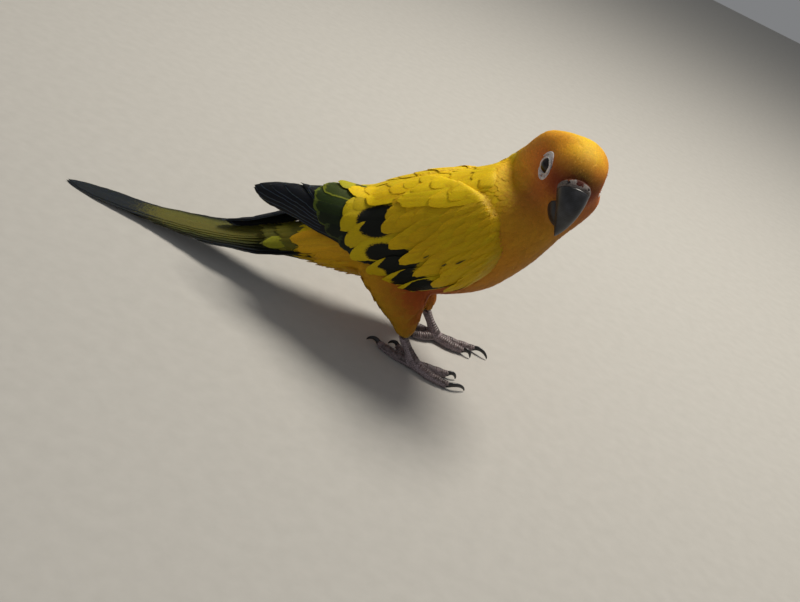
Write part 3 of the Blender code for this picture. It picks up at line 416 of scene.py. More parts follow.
HEAD_PLACES = [
    # the same, from the head's centre: forward, side, up
    ("crown", 4, 0, 17, 8.5, "#FAC41C", 3.0, 1.35),
    ("crown_back", -11, 0, 14, 9, "#F8C614", 3.8, 1.8),
    ("crown_side", 0, 11, 13, 6.5, "#EE9A28", 2.6, 1.2),
    ("forehead", 13.5, 0, 15, 5.0, "#DE9622", 2.2, 1.0),
    # above_bill and bridge: a red-brown band, darkened further as painted shade where forehead meets cere
    ("above_bill", 17.5, 0, 7.5, 6.5, "#54201A", 1.8, 0.8),
    ("beside_bill", 15, 7.5, 4.5, 4.6, "#70291C", 1.7, 0.8),
    ("bridge", 21, 0, 5, 4.5, "#4A1E18", 1.3, 0.6),
    ("brow", 13, 8, 10, 4.5, "#D8842A", 2.0, 0.95),
    ("lore", 15, 9, 1, 5, "#94401F", 1.6, 0.8),
    ("eye_rim", 3, 14, 2, 6.5, "#D2602E", 1.7, 0.8),
    ("ear", -5, 18, -3, 7.5, "#EC8240", 2.8, 1.3),
    ("cheek", 8, 14, -8, 6.5, "#BE6430", 2.6, 1.2),
    ("jaw", 12, 8, -15, 7, "#C4742A", 3.2, 1.5),
    ("side_of_neck", -10, 15, -10, 8, "#DC9024", 4.2, 2.0),
    ("back_of_head", -18, 0, 2, 9, "#F0B01C", 4.4, 2.1),
]


def place_table():
    """Centres in the two frames, reach, linear colour, length and width of each place."""
    rows = [(0, *row[1:]) for row in BODY_PLACES] + [(1, *row[1:]) for row in HEAD_PLACES]
    centres = np.array([row[1:4] for row in rows], dtype=float)
    values = np.array([(*linear(row[5]), row[6], row[7]) for row in rows])
    return np.array([row[0] for row in rows]), centres, np.array([row[4] for row in rows]), values


PLACE_FRAME, PLACE_CENTRES, PLACE_REACH, PLACE_VALUES = place_table()


def markings(points):
    """Colour (3 columns), feather length and width in mm at bird-frame points."""
    body = np.asarray(points, dtype=float).copy()
    head = in_head(body)
    body[:, 1], head[:, 1] = np.abs(body[:, 1]), np.abs(head[:, 1])
    weights = []
    for frame_number, centre, reach in zip(PLACE_FRAME, PLACE_CENTRES, PLACE_REACH):
        away = np.linalg.norm((head if frame_number else body) - centre, axis=1) / reach
        weights.append(np.exp(-(away**2)) + 1e-5 / (1.0 + away**4))
    weights = np.array(weights)
    return (weights / weights.sum(axis=0)).T @ PLACE_VALUES


print("places in the markings:", len(PLACE_CENTRES))

# %% [markdown]
# ## Skin
#
# Under the coat lies one skin for torso, neck, head and thighs. It is lofted from the
# same rings as the solids, joined to the thighs by a voxel remesh, smoothed, and drawn
# in by the depth of the coat, so that feathers can stand on it and still end where the
# solids end. Its colours come from the markings, a little darker, as down is in shade.

# %% Loft body and thighs
THIGH = [
    (-45.0, 13.0, 50.0, 21.0, 11.0),
    (-41.0, 16.5, 36.0, 19.0, 10.0),
    (-33.5, 19.0, 26.0, 12.5, 8.0),
    (-28.5, 19.5, 20.0, 7.6, 6.0),
    (-25.8, 19.5, 14.5, 3.8, 3.6),
]
LEG_SIDES = {"right": (-1.0, 0.0, 0.0), "left": (1.0, 6.5, -1.5)}
COAT_DEPTH = 1.0


def leg_point(side_name, x, y, z):
    """Point of a leg: the left one stands a little further forward and closer in."""
    sign, shift, narrow = LEG_SIDES[side_name]
    share = 1.0 - min(max((z - 14.0) / 30.0, 0.0), 1.0)
    return np.array([x + shift * share, sign * (y + narrow * share), z])


def thigh_rings(side_name, count=28, points=48):
    turn = np.linspace(0, 2 * math.pi, points, endpoint=False)
    rings = []
    for u in np.linspace(0, len(THIGH) - 1, count):
        x, y, z, long, wide = between(THIGH, u)
        ring = np.stack([long * np.cos(turn), wide * np.sin(turn), 0 * turn], 1)
        rings.append(leg_point(side_name, x, y, z) + ring)
    return rings


def flesh_material():
    """Feathered skin with down: matt, a fine fuzz of about half a millimetre, darkened as painted shade of the coat."""
    material, tree, shader = new_material("skin_under_down", 0.8, 1.45)
    colour = node(tree, "ShaderNodeVertexColor", layer_name="coat")
    where = node(tree, "ShaderNodeTexCoord")
    fuzz = node(tree, "ShaderNodeTexNoise", {"Vector": where.outputs["Object"], "Scale": 1900.0, "Detail": 4.0})
    # Painted shade: the fuzz scales the markings' colour to between 0.62 and 0.95, for the coat's shade on the down,
    # with a fine mottle.
    dark = node(tree, "ShaderNodeMapRange", {"Value": fuzz.outputs[0], "To Min": 0.62, "To Max": 0.95})
    mix = node(tree, "ShaderNodeVectorMath", {0: colour.outputs["Color"]}, operation="SCALE")
    tree.links.new(dark.outputs[0], mix.inputs["Scale"])
    tree.links.new(mix.outputs[0], shader.inputs["Base Color"])
    bump = node(tree, "ShaderNodeBump", {"Height": fuzz.outputs[0], "Strength": 0.6, "Distance": 0.0003})
    tree.links.new(bump.outputs[0], shader.inputs["Normal"])
    return material


EYE_PLACES = {-1.0: (3.2, 12.1, 2.0), 1.0: (0.4, 9.6, 1.8)}
FAR_CHEEK, FAR_CHEEK_REACH, FAR_CHEEK_DEPTH = (10.0, 12.0, -12.0), 10.0, 1.5
NAPE, NAPE_REACH, NAPE_RISE = (-9.5, 0.5, 126.5), 8.0, 3.2
EYE_LOOK = {-1.0: (0.48, 1.0, 0.05), 1.0: (0.06, 1.0, 0.05)}
EYE_TURN = math.radians(20.0)
EYE_RADIUS = 4.3
BARE_RING = {-1.0: (3.9, 6.2), 1.0: (3.6, 5.8)}
RING_RISE = {-1.0: 0.5, 1.0: 0.3}


def eye_axes(side):
    """Columns: forward along the head, up along the head, out of the eye."""
    out = unit(HEAD_AXES @ (np.array(EYE_LOOK[side]) * (1.0, side, 1.0)))
    upward = HEAD_AXES[:, 2]
    upward = unit(upward - out * (upward @ out))
    forward = np.cross(upward, out)
    c, s = math.cos(EYE_TURN), -side * math.sin(EYE_TURN)
    return np.column_stack([c * forward + s * upward, c * upward - s * forward, out])


def eye_centre(side):
    return head_point(np.array(EYE_PLACES[side]) * (1.0, side, 1.0))


def sink_under_eyes(points):
    """Press skin points inside each eye's opening down below the ball."""
    for side in (-1.0, 1.0):
        local = (points - eye_centre(side)) @ eye_axes(side)
        away = np.hypot(local[:, 0] / 3.9, local[:, 1] / 4.3)
        ball = np.sqrt(np.maximum(EYE_RADIUS**2 - local[:, 0] ** 2 - local[:, 1] ** 2, 0.0)) - 1.2
        sunk = (local[:, 2] > 0) & (away < 1.15)
        local[sunk, 2] = np.minimum(local[sunk, 2], ball[sunk])
        points[sunk] = eye_centre(side) + local[sunk] @ eye_axes(side).T
    return points


def build_skin():
    parts = [tube([body_ring(u) for u in np.linspace(0.0, CROWN, 120)])]
    parts += [tube(thigh_rings(side_name)) for side_name in ("right", "left")]
    points, faces, count = [], [], 0
    for some_points, some_faces in parts:
        points.append(some_points)
        faces.append(outward(some_points, some_faces) + count)
        count += len(some_points)
    skin = make_piece("skin", np.concatenate(points), np.concatenate(faces), flesh_material())
    remesh = skin.modifiers.new("one_surface", "REMESH")
    remesh.mode, remesh.voxel_size, remesh.use_smooth_shade = "VOXEL", 1.1 * MM, True
    smooth = skin.modifiers.new("calm", "SMOOTH")
    smooth.factor, smooth.iterations = 0.5, 8
    finish_modifiers(skin)
    points, normals = points_of(skin)
    far = np.linalg.norm(in_head(points) - FAR_CHEEK, axis=1) / FAR_CHEEK_REACH
    depth = COAT_DEPTH + FAR_CHEEK_DEPTH * np.exp(-(far**2))
    depth -= NAPE_RISE * np.exp(-((np.linalg.norm(points - NAPE, axis=1) / NAPE_REACH) ** 2))
    points = sink_under_eyes(points - depth[:, None] * normals) * MM + SHIFT
    skin.data.vertices.foreach_set("co", points.astype(np.float32).ravel())
    skin.data.update()
    return skin


skin = build_skin()
skin_points, skin_normals = points_of(skin)
colour_points(skin, "coat", markings(skin_points)[:, :3])
print("skin:", len(skin.data.polygons), "faces")

# %% Trees that answer what is nearest
def surface_tree(obj):
    """Search tree of a piece in the bird frame, with a smooth normal for each face."""
    obj.data.calc_loop_triangles()
    count = len(obj.data.loop_triangles)
    faces = np.empty(count * 3, np.int32)
    obj.data.loop_triangles.foreach_get("vertices", faces)
    faces = faces.reshape(-1, 3)
    points, normals = points_of(obj)
    tree = BVHTree.FromPolygons([Vector(p) for p in points], faces.tolist())
    return tree, points, faces, unit(normals[faces].mean(axis=1))


SKIN_TREE, SKIN_POINTS, SKIN_FACES, SKIN_FACE_NORMALS = surface_tree(skin)


def cling(points, tree=SKIN_TREE, face_normals=SKIN_FACE_NORMALS):
    """Nearest places on a surface, and their normals."""
    spots, normals = np.empty_like(points), np.empty_like(points)
    for i, point in enumerate(points):
        spot, _, face, _ = tree.find_nearest(Vector(point))
        spots[i], normals[i] = spot, face_normals[face]
    return spots, normals


CENTRE_STEPS = np.linspace(0.0, CROWN, 260)
CENTRE_ROWS = between(BODY_ROWS, CENTRE_STEPS)


def station_of(points):
    """Station number, and the body's forward direction there, for each point."""
    away = np.linalg.norm(points[:, None, :] - CENTRE_ROWS[None, :, :3], axis=2)
    nearest = away.argmin(axis=1)
    return CENTRE_STEPS[nearest], unit(CENTRE_ROWS[nearest, 8:11])


# %% [markdown]
# ## The lie of the coat
#
# Feathers point away from the bill: up over the forehead, back over crown and cheeks,
# down the throat and nape, then rearward along the body and down the thighs. This is
# the one thing that makes a coat look right, so it is written as a rule: a direction
# for each region, mixed where they meet, and laid flat into the surface.

# %% Direction of the feathers
def ramp(value, low, high):
    """Smooth rise from 0 at low to 1 at high."""
    t = np.clip((value - low) / (high - low), 0.0, 1.0)
    return t * t * (3.0 - 2.0 * t)


def lie_of_coat(points, normals):
    """Direction from root to tip of a feather at each point, flat on the surface."""
    u, way = station_of(points)
    head = in_head(points)
    forward, up = HEAD_AXES[:, 0], HEAD_AXES[:, 2]
    from_bill = (head - np.array((16.0, 0.0, -1.0))) @ HEAD_AXES.T
    near_bill = np.exp(-((np.linalg.norm(from_bill, axis=1) / 13.0) ** 2))[:, None]
    over_nape = np.clip((-head[:, 0] - 4.0) / 10.0, 0.0, 1.0)[:, None]
    below_eye = ramp(-head[:, 2], 0.0, 14.0)[:, None]
    on_head = -forward + 1.6 * near_bill * unit(from_bill) - up * (over_nape + 0.8 * below_eye)
    share = ramp(u, 7.0, 8.8)[:, None]
    lie = -way * (1.0 - share) + unit(on_head) * share
    leg = (ramp(np.abs(points[:, 1]), 9.0, 13.0) * ramp(-points[:, 2], -38.0, -24.0) * ramp(points[:, 0], -58.0, -50.0))[:, None]
    lie = unit(lie) * (1.0 - leg) + np.array((-0.35, 0.0, -1.0)) * leg
    return unit(lie - normals * np.einsum("ij,ij->i", lie, normals)[:, None])


# %% [markdown]
# ## Feather horn: the material of every vane
#
# A feather is keratin, like a nail, but combed into barbs that leave the shaft at a
# slant and hook together into a vane. That gives a soft satin shine that runs along the
# barbs. Real barbs stand about 0.1 mm apart; they are drawn here at 0.35 mm, so that
# the render can show them at all. Two colours and a mark, given at each point, make
# dark centres with paler edges, and the mark's border follows the barbs.

# %% Feather materials
BARB_PITCH = 0.35


def feather_material(name, roughness, barbs, shine, relief, two_colours):
    """Vane material; barbs is how much the grooves darken it, shine how much the split surface still mirrors."""
    material, tree, shader = new_material(
        name, roughness, 1.54, Specular_IOR_Level=shine,
        Subsurface_Weight=0.3, Subsurface_Radius=(1.0, 0.55, 0.12), Subsurface_Scale=0.0016,
    )
    uv = node(tree, "ShaderNodeUVMap", uv_map="Vane")
    parts = node(tree, "ShaderNodeSeparateXYZ", {0: uv.outputs[0]})
    across = node(tree, "ShaderNodeMath", {0: parts.outputs["X"]}, operation="ABSOLUTE")
    slant = node(tree, "ShaderNodeMath", {0: across.outputs[0], 1: -1.1, 2: parts.outputs["Y"]}, operation="MULTIPLY_ADD")
    phase = node(tree, "ShaderNodeMath", {0: slant.outputs[0], 1: 2 * math.pi / BARB_PITCH}, operation="MULTIPLY")
    wave = node(tree, "ShaderNodeMath", {0: phase.outputs[0]}, operation="SINE")
    where = node(tree, "ShaderNodeCombineXYZ", {"X": slant.outputs[0], "Y": across.outputs[0]})
    tufts = node(tree, "ShaderNodeTexNoise", {"Vector": where.outputs[0], "Scale": 1.3, "Detail": 3.0})
    if two_colours:
        light = node(tree, "ShaderNodeVertexColor", layer_name="vane_light")
        dark = node(tree, "ShaderNodeVertexColor", layer_name="vane_dark")
        mark = node(tree, "ShaderNodeAttribute", attribute_name="vane_mark")
        torn = node(tree, "ShaderNodeMath", {0: tufts.outputs[0], 1: 0.9, 2: mark.outputs["Fac"]}, operation="MULTIPLY_ADD")
        border = node(tree, "ShaderNodeMapRange", {"Value": torn.outputs[0], "From Min": 0.30, "From Max": 0.60}, interpolation_type="SMOOTHSTEP")
        mix = node(tree, "ShaderNodeMix", {0: border.outputs[0], 6: light.outputs["Color"], 7: dark.outputs["Color"]}, data_type="RGBA")
        colour = mix.outputs[2]
    else:
        colour = node(tree, "ShaderNodeVertexColor", layer_name="coat").outputs["Color"]
    comb = node(tree, "ShaderNodeMapRange", {"Value": wave.outputs[0], "From Min": -1.0, "To Min": 1.0 - barbs, "To Max": 1.0})
    patchy = node(tree, "ShaderNodeMapRange", {"Value": tufts.outputs[0], "From Min": 0.3, "From Max": 0.7, "To Min": 0.86, "To Max": 1.08})
    both = node(tree, "ShaderNodeMath", {0: comb.outputs[0], 1: patchy.outputs[0]}, operation="MULTIPLY")
    shaded = node(tree, "ShaderNodeVectorMath", {0: colour}, operation="SCALE")
    tree.links.new(both.outputs[0], shaded.inputs["Scale"])
    tree.links.new(shaded.outputs[0], shader.inputs["Base Color"])
    bump = node(tree, "ShaderNodeBump", {"Height": wave.outputs[0], "Strength": relief, "Distance": 0.00006})
    tree.links.new(bump.outputs[0], shader.inputs["Normal"])
    return material


COAT_MATERIAL = feather_material("contour_feather_keratin", 0.65, 0.06, 0.12, 0.14, False)
VANE_MATERIAL = feather_material("flight_feather_keratin", 0.58, 0.12, 0.18, 0.30, True)

# %% [markdown]
# ## Contour feathers
#
# Each small feather is one closed vane: a raised middle, two thin edges and a flat
# underside, in a few steps from its root to a narrow tip. Roots are scattered with a
# set distance between them that follows the feathers' size, from under a millimetre
# on the face to a few on the back. Each vane then crawls over the skin along the lie,
# rising a little, so that its tip covers the roots behind it like a tile.

# %% Scatter the roots
FEATHERS_SEED = 11
CANDIDATES = 260000
ROOT_SPACING = 0.31


def scatter_roots(rng):
    """Places on the skin with a distance between them that follows the feathers' size."""
    corners = SKIN_POINTS[SKIN_FACES]
    middles = corners.mean(axis=1)
    size = markings(middles)[:, 3:]
    area = 0.5 * np.linalg.norm(np.cross(corners[:, 1] - corners[:, 0], corners[:, 2] - corners[:, 0]), axis=1)
    chance = area / (size[:, 0] * size[:, 1])
    face = rng.choice(len(area), CANDIDATES, p=chance / chance.sum())
    a, b = rng.random(CANDIDATES), rng.random(CANDIDATES)
    flip = a + b > 1.0
    a[flip], b[flip] = 1.0 - a[flip], 1.0 - b[flip]
    share = np.stack([1.0 - a - b, a, b], 1)
    points = np.einsum("ij,ijk->ik", share, corners[face])
    normals = SKIN_FACE_NORMALS[face]
    apart = ROOT_SPACING * np.sqrt(size[face, 0] * size[face, 1]) * 1.25
    tree = KDTree(len(points))
    for i, point in enumerate(points):
        tree.insert(Vector(point), i)
    tree.balance()
    free, kept = np.ones(len(points), bool), []
    for i in range(len(points)):
        if free[i]:
            kept.append(i)
            for _, k, _ in tree.find_range(Vector(points[i]), apart[i]):
                free[k] = False
    return points[kept], normals[kept]


rng = np.random.default_rng(FEATHERS_SEED)
roots, root_normals = scatter_roots(rng)
print("feather roots:", len(roots))

# %% Leave out the places of eyes, bill and wings
def in_bare_ring(points):
    """True where a point lies in the bare skin round an eye."""
    inside = np.zeros(len(points), bool)
    for side in (-1.0, 1.0):
        local = (points - eye_centre(side)) @ eye_axes(side)
        inside |= ((local[:, 0] / BARE_RING[side][0]) ** 2 + (local[:, 1] / BARE_RING[side][1]) ** 2 < 1.0) & (local[:, 2] > 0)
    return inside


# %% The bill's chart: sections of the upper half along its ridge
CULMEN_START = (18.5, 9.0)
CULMEN_LENGTH = 32.0
CULMEN_SLOPES = (27.0, 126.0)
BILL_HALF_WIDTH, BILL_DEPTH = 7.0, 14.0
BILL_TAPER, BILL_DEPTH_TAPER, BILL_TIP_RADIUS = 2.1, 1.6, 0.4
CERE_START, CERE_END, CERE_GAP_SHARE = 0.01, 0.13, 0.012


def ridge_point(t):
    """Forward, up and slope of the ridge at share t from the forehead."""
    slopes = np.radians(CULMEN_SLOPES)
    steps = 40
    slope = slopes[0] + (slopes[1] - slopes[0]) * t * (np.arange(steps) + 0.5) / steps
    forward = CULMEN_START[0] + CULMEN_LENGTH * t / steps * np.cos(slope).sum()
    up = CULMEN_START[1] - CULMEN_LENGTH * t / steps * np.sin(slope).sum()
    return forward, up, slopes[0] + (slopes[1] - slopes[0]) * t


def bill_ring(t, swell=0.0, points=64, shape=None):
    """Points round the upper bill at share t of its ridge, from the ridge leftward."""
    forward, up, slope = ridge_point(t)
    inward = np.array([-math.sin(slope), 0.0, -math.cos(slope)])
    half = BILL_HALF_WIDTH * (1 - t**BILL_TAPER) + BILL_TIP_RADIUS
    depth = BILL_DEPTH * (1 - t**BILL_DEPTH_TAPER) + 2 * BILL_TIP_RADIUS
    angle = np.linspace(0.0, 2 * math.pi, points, endpoint=False)
    c, s = np.cos(angle), np.sin(angle)
    high, wide = (c, s) if shape is None else shape(t, angle)
    swell = swell(t, angle) if callable(swell) else swell
    reach = np.where(c > 0, 0.55, 0.45) * depth + swell
    inset = 0.55 * depth - reach * high
    local = np.array([forward, 0.0, up]) + inset[:, None] * inward
    local[:, 1] += (half + swell) * wide
    return head_point(local)


LOWER_BILL = [
    (8.0, -8.0, 7.0, 7.0),
    (14.0, -10.4, 7.0, 6.9),
    (18.8, -11.2, 5.8, 5.6),
    (22.4, -10.0, 3.6, 3.2),
]


def lower_ring(u, swell=0.0, points=48):
    """Points round the lower bill at station number u, from its upper side leftward."""
    last = len(LOWER_BILL) - 1
    forward, up, deep, half = between(LOWER_BILL, u)
    slope = between(LOWER_BILL, min(u + 0.05, last)) - between(LOWER_BILL, max(u - 0.05, 0.0))
    tangent = unit((slope[0], 0.0, slope[1]))
    angle = np.linspace(0.0, 2 * math.pi, points, endpoint=False)
    local = np.array([forward, 0.0, up]) + ((deep + swell) * np.cos(angle))[:, None] * np.array([-tangent[2], 0.0, tangent[0]])
    local[:, 1] += (half + swell) * np.sin(angle)
    return head_point(local)


def closed_tree(rings):
    """Search tree of a closed tube, to ask what lies inside it."""
    points, faces = tube(rings)
    return BVHTree.FromPolygons([Vector(p) for p in points], outward(points, faces).tolist())


def inside(tree, points, margin):
    """True where a point lies inside a closed surface or within a margin of it."""
    found = np.zeros(len(points), bool)
    for i, point in enumerate(points):
        spot, normal, _, _ = tree.find_nearest(Vector(point), 30.0)
        found[i] = spot is not None and (Vector(point) - spot).dot(normal) < margin
    return found


UPPER_TREE = closed_tree([bill_ring(t) for t in np.linspace(CERE_START, 1.0, 50)])
LOWER_TREE = closed_tree([lower_ring(u) for u in np.linspace(0, 3, 24)])

# %% [markdown]
# ## The folded wing's chart
#
# A folded wing is a shell that lies on the flank and runs free to its tip. Its chart
# has two numbers: x along the bird, and the angle round a line behind the body, from
# straight up. Rays from that line find the body, and where there is none the wing
# keeps a curve of its own. The chart is filled once in a table and read many times.

# %% Fill the wing's table
WING_LINES = {
    "right": [
        (-124.5, 43.0, 1.5, 3.0),
        (-113.0, 44.5, 7.5, 8.0),
        (-100.0, 46.5, 11.5, 12.0),
        (-85.0, 49.0, 15.5, 17.0),
        (-65.0, 52.5, 17.0, 20.0),
        (-40.0, 60.0, 15.0, 18.0),
        (0.0, 80.0, 10.0, 12.0),
    ],
    "left": [
        (-134.0, 15.5, 1.0, 2.5),
        (-120.0, 21.0, 3.6, 6.0),
        (-104.0, 31.0, 6.5, 10.0),
        (-85.0, 44.5, 14.5, 17.0),
        (-65.0, 52.5, 17.0, 20.0),
        (-40.0, 60.0, 15.0, 18.0),
        (0.0, 80.0, 10.0, 12.0),
    ],
}
WING_TIP = {"right": -123.5, "left": -133.0}
WING_BEND = -4.5
WING_EDGES = np.array([
    (0.0, 75.0, 75.0),
    (0.08, 20.0, 97.0),
    (0.25, 9.0, 107.0),
    (0.5, 7.0, 109.0),
    (0.62, 10.0, 124.0),
    (0.72, 15.0, 131.0),
    (0.85, 32.0, 130.0),
    (0.93, 50.0, 126.0),
    (1.0, 86.0, 104.0),
])
FRONT_EDGE = np.array([
    (0.0, 0.62), (15.0, 0.74), (32.0, 0.85), (50.0, 0.93), (86.0, 1.0), (104.0, 1.0), (118.0, 0.985), (126.0, 0.965), (131.0, 0.92), (134.0, 0.80),
])
WING_THICKNESS, WING_EDGE_THICKNESS = 1.7, 0.8
WING_CLEARANCE, WING_PARTING = 0.7, 0.6
TABLE_STEPS = (140, 76)
BODY_TREE = closed_tree([body_ring(u, 80) for u in np.linspace(0.0, CROWN - 0.001, 71)])


class FoldedWing:
    """Chart of one folded wing: x in mm and angle in radians give a place in the bird frame."""

    def __init__(self, side_name):
        self.sign = -1.0 if side_name == "right" else 1.0
        self.line = np.array(WING_LINES[side_name])
        self.tip = WING_TIP[side_name]
        self.span = WING_BEND - self.tip
        self.xs = np.linspace(self.tip - 4.0, WING_BEND + 15.0, TABLE_STEPS[0])
        self.angles = np.radians(np.linspace(0.0, 150.0, TABLE_STEPS[1]))
        self.carrier, self.base = np.empty(TABLE_STEPS), np.empty(TABLE_STEPS)
        for i, x in enumerate(self.xs):
            z, up, out = self.row(x)
            for k, angle in enumerate(self.angles):
                way = Vector((0.0, self.sign * math.sin(angle), math.cos(angle)))
                hit, normal = BODY_TREE.ray_cast(Vector((x, 0.0, z)), way)[:2]
                cast = (hit - Vector((x, 0.0, z))).length if hit is not None and normal.dot(way) > 0 else 0.0
                free = 1.0 / math.sqrt((math.cos(angle) / up) ** 2 + (math.sin(angle) / out) ** 2)
                self.carrier[i, k] = 0.5 * (cast + free + math.sqrt((cast - free) ** 2 + 4.0))
                self.base[i, k] = max(self.carrier[i, k], cast + WING_CLEARANCE if cast else 0.0)

    def front(self, angle):
        """x of the wing's front edge at an angle."""
        return self.tip + self.span * np.interp(np.degrees(angle), FRONT_EDGE[:, 0], FRONT_EDGE[:, 1])

    def row(self, x):
        """Height of the line, reach up and reach out at x."""
        return [np.interp(x, self.line[:, 0], self.line[:, i]) for i in (1, 2, 3)]

    def read(self, table, x, angle):
        """Value of a table between its entries."""
        fx = np.clip((x - self.xs[0]) / (self.xs[1] - self.xs[0]), 0, TABLE_STEPS[0] - 1.001)
        fa = np.clip(angle / self.angles[1], 0, TABLE_STEPS[1] - 1.001)
        i, k = fx.astype(int), fa.astype(int)
        s, t = fx - i, fa - k
        near = table[i, k] * (1 - t) + table[i, k + 1] * t
        far = table[i + 1, k] * (1 - t) + table[i + 1, k + 1] * t
        return near * (1 - s) + far * s

    def place(self, x, angle, height):
        """Bird-frame point at a height over the wing's bed, which dips under the coat in front."""
        x, angle = np.broadcast_arrays(np.asarray(x, dtype=float), np.asarray(angle, dtype=float))
        risen = ramp(self.front(angle) + 3.0 - x, 0.0, 7.0)
        reach = self.read(self.base, x, angle) + height * risen - 1.9 * (1.0 - risen)
        z = self.row(x)[0]
        return np.stack([x, self.sign * reach * np.sin(angle), z + reach * np.cos(angle)], -1)

    def at(self, share, across):
        """x and angle in degrees at a share from the tip and a share from the upper edge."""
        top, low = (np.interp(share, WING_EDGES[:, 0], WING_EDGES[:, i]) for i in (1, 2))
        return self.tip + self.span * share, top + (low - top) * across


def edge_angles(share):
    """Angles in radians of the upper and lower edge at a share of the wing from its tip."""
    return [np.radians(np.interp(share, WING_EDGES[:, 0], WING_EDGES[:, i])) for i in (1, 2)]


def pad_thickness(share, across):
    """Thickness of the wing under its vanes."""
    middle = np.sin(math.pi * np.clip(across, 0.0, 1.0)) ** 0.5
    ends = np.minimum(1.0, np.minimum(4 * share, 8 * (1 - share)))
    return WING_EDGE_THICKNESS + (WING_THICKNESS - WING_EDGE_THICKNESS) * middle * np.clip(ends, 0.0, 1.0)


WINGS = {side_name: FoldedWing(side_name) for side_name in ("right", "left")}
print("wing beds:", {name: wing.base.round(1).max() for name, wing in WINGS.items()})


def under_wing(points, margin):
    """True where a point is covered by a folded wing, further in than a margin in mm."""
    covered = np.zeros(len(points), bool)
    for wing in WINGS.values():
        share = (points[:, 0] - wing.tip) / wing.span
        z = wing.row(points[:, 0])[0]
        side, up = wing.sign * points[:, 1], points[:, 2] - z
        angle, reach = np.arctan2(side, up), np.hypot(side, up)
        top, low = edge_angles(np.clip(share, 0, 1))
        slack = margin / np.maximum(reach, 1.0)
        covered |= (side > 0) & (share > 0.02) & (points[:, 0] < WING_BEND - margin) & (angle > top + slack) & (angle < low - slack)
    return covered


# %% Keep the roots that show
keep = ~in_bare_ring(roots)
near_face = np.linalg.norm(roots - head_point((18, 0, 0)), axis=1) < 26.0
keep[near_face] &= ~inside(UPPER_TREE, roots[near_face], 0.35)
keep[near_face] &= ~inside(LOWER_TREE, roots[near_face], 0.3)
keep &= ~under_wing(roots, 5.0)
shin = np.array([leg_point(name, -25.8, 19.5, 14.0) for name in ("right", "left")])
keep &= np.min(np.linalg.norm(roots[:, None] - shin[None], axis=2), axis=1) > 2.2
keep &= (roots[:, 2] > 12.0) & (roots[:, 0] > -97.0)
roots, root_normals = roots[keep], root_normals[keep]
print("feathers that show:", len(roots))

# %% Grow the vanes over the skin
HEAD_STEPS = (0.0, 0.32, 0.62, 0.86)
BODY_STEPS = (0.0, 0.22, 0.45, 0.67, 0.85, 0.95)
OUTLINE = ((0.0, 0.3), (0.2, 0.72), (0.45, 1.0), (0.67, 0.98), (0.85, 0.72), (0.95, 0.42), (1.0, 0.0))
SINK = 0.15
LOOSE_PLACE = np.array((-62.0, 0.0, 24.0))


def strip_faces(count):
    """Faces of one vane with count cross rows of left, middle and right, then its tip."""
    faces = [(0, 2, 1)]
    for i in range(count - 1):
        a, b = 3 * i, 3 * i + 3
        faces += [(a, a + 1, b + 1), (a, b + 1, b), (a + 1, a + 2, b + 2), (a + 1, b + 2, b + 1)]
        faces += [(a + 2, a, b), (a + 2, b, b + 2)]
    a, tip = 3 * count - 3, 3 * count
    return np.array(faces + [(a, a + 1, tip), (a + 1, a + 2, tip), (a + 2, a, tip)])


def grow(roots, normals, steps, rng, tree=SKIN_TREE, face_normals=SKIN_FACE_NORMALS, lies=None):
    """Points of closed vanes, with each point's position on its vane and its colour."""
    count = len(roots)
    look = markings(roots)
    length = look[:, 3] * rng.normal(1.0, 0.09, count).clip(0.7, 1.3)
    width = look[:, 4] * rng.normal(1.0, 0.08, count).clip(0.75, 1.3)
    loose = np.exp(-((np.linalg.norm((roots - LOOSE_PLACE) * (1, 0.6, 1), axis=1) / 17.0) ** 2))
    lift = (0.10 + 0.026 * length + 2.6 * loose) * rng.uniform(0.75, 1.2, count)
    camber = 0.02 + 0.016 * width
    bend = rng.normal(0.0, 0.10, count)
    lie = lie_of_coat(roots, normals) if lies is None else lies
    lie = unit(lie + np.cross(normals, lie) * rng.normal(0.0, 0.12, count)[:, None])
    widths = np.interp(steps, *np.array(OUTLINE).T)
    spot, normal, done = roots, normals, 0.0
    points, place = [], []
    for step, share in zip((*steps, 1.0), (*widths, 0.0)):
        if step > 0:
            spot, normal = cling(spot + lie * (length * (step - done))[:, None], tree, face_normals)
            done = step
        lie = unit(lie - normal * np.einsum("ij,ij->i", lie, normal)[:, None])
        left = np.cross(normal, lie)
        lie = unit(lie + left * (bend * 0.3)[:, None])
        height = (-SINK + (lift + SINK) * step)[:, None]
        along = length * step
        if share == 0.0:
            points.append(spot + normal * height)
            place.append(np.stack([0 * along, along, 0 * along, 0 * along + 1.0], 1))
            continue
        for side in (1.0, 0.0, -1.0):
            half = 0.5 * width * share * rng.normal(1.0, 0.06, count)
            rise = height + (camber * (1.0 - 0.4 * step) * (side == 0))[:, None]
            points.append(spot + normal * rise + left * (side * half)[:, None])
            place.append(np.stack([side * half, along, 0 * along + side * share, 0 * along + step], 1))
    points, place = np.stack(points, 1), np.stack(place, 1)
    shade = rng.normal(1.0, 0.035, count)[:, None, None]
    warm = 1.0 + rng.normal(0.0, 0.03, (count, 1, 1)) * np.array((0.4, 1.0, 0.6))
    base_to_tip = (0.88 + 0.14 * place[:, :, 3])[:, :, None]
    colours = (look[:, None, :3] * shade * warm * base_to_tip).clip(0, 1)
    return points, place, colours


def unwrap_body(points):
    """Skin's own unwrap: the station along the body, and the turn round it."""
    u, way = station_of(points)
    rows = between(BODY_ROWS, u)
    side = np.array([0.0, 1.0, 0.0]) - way * way[:, 1:2]
    side = unit(side)
    front = np.cross(side, way)
    away = points - rows[:, :3]
    turn = np.arctan2(np.einsum("ij,ij->i", away, side), np.einsum("ij,ij->i", away, front))
    along = np.einsum("ij,ij->i", away, way) / 15.0
    return np.stack([(u + along) / 15.0, turn / (2 * math.pi) + 0.5], 1)


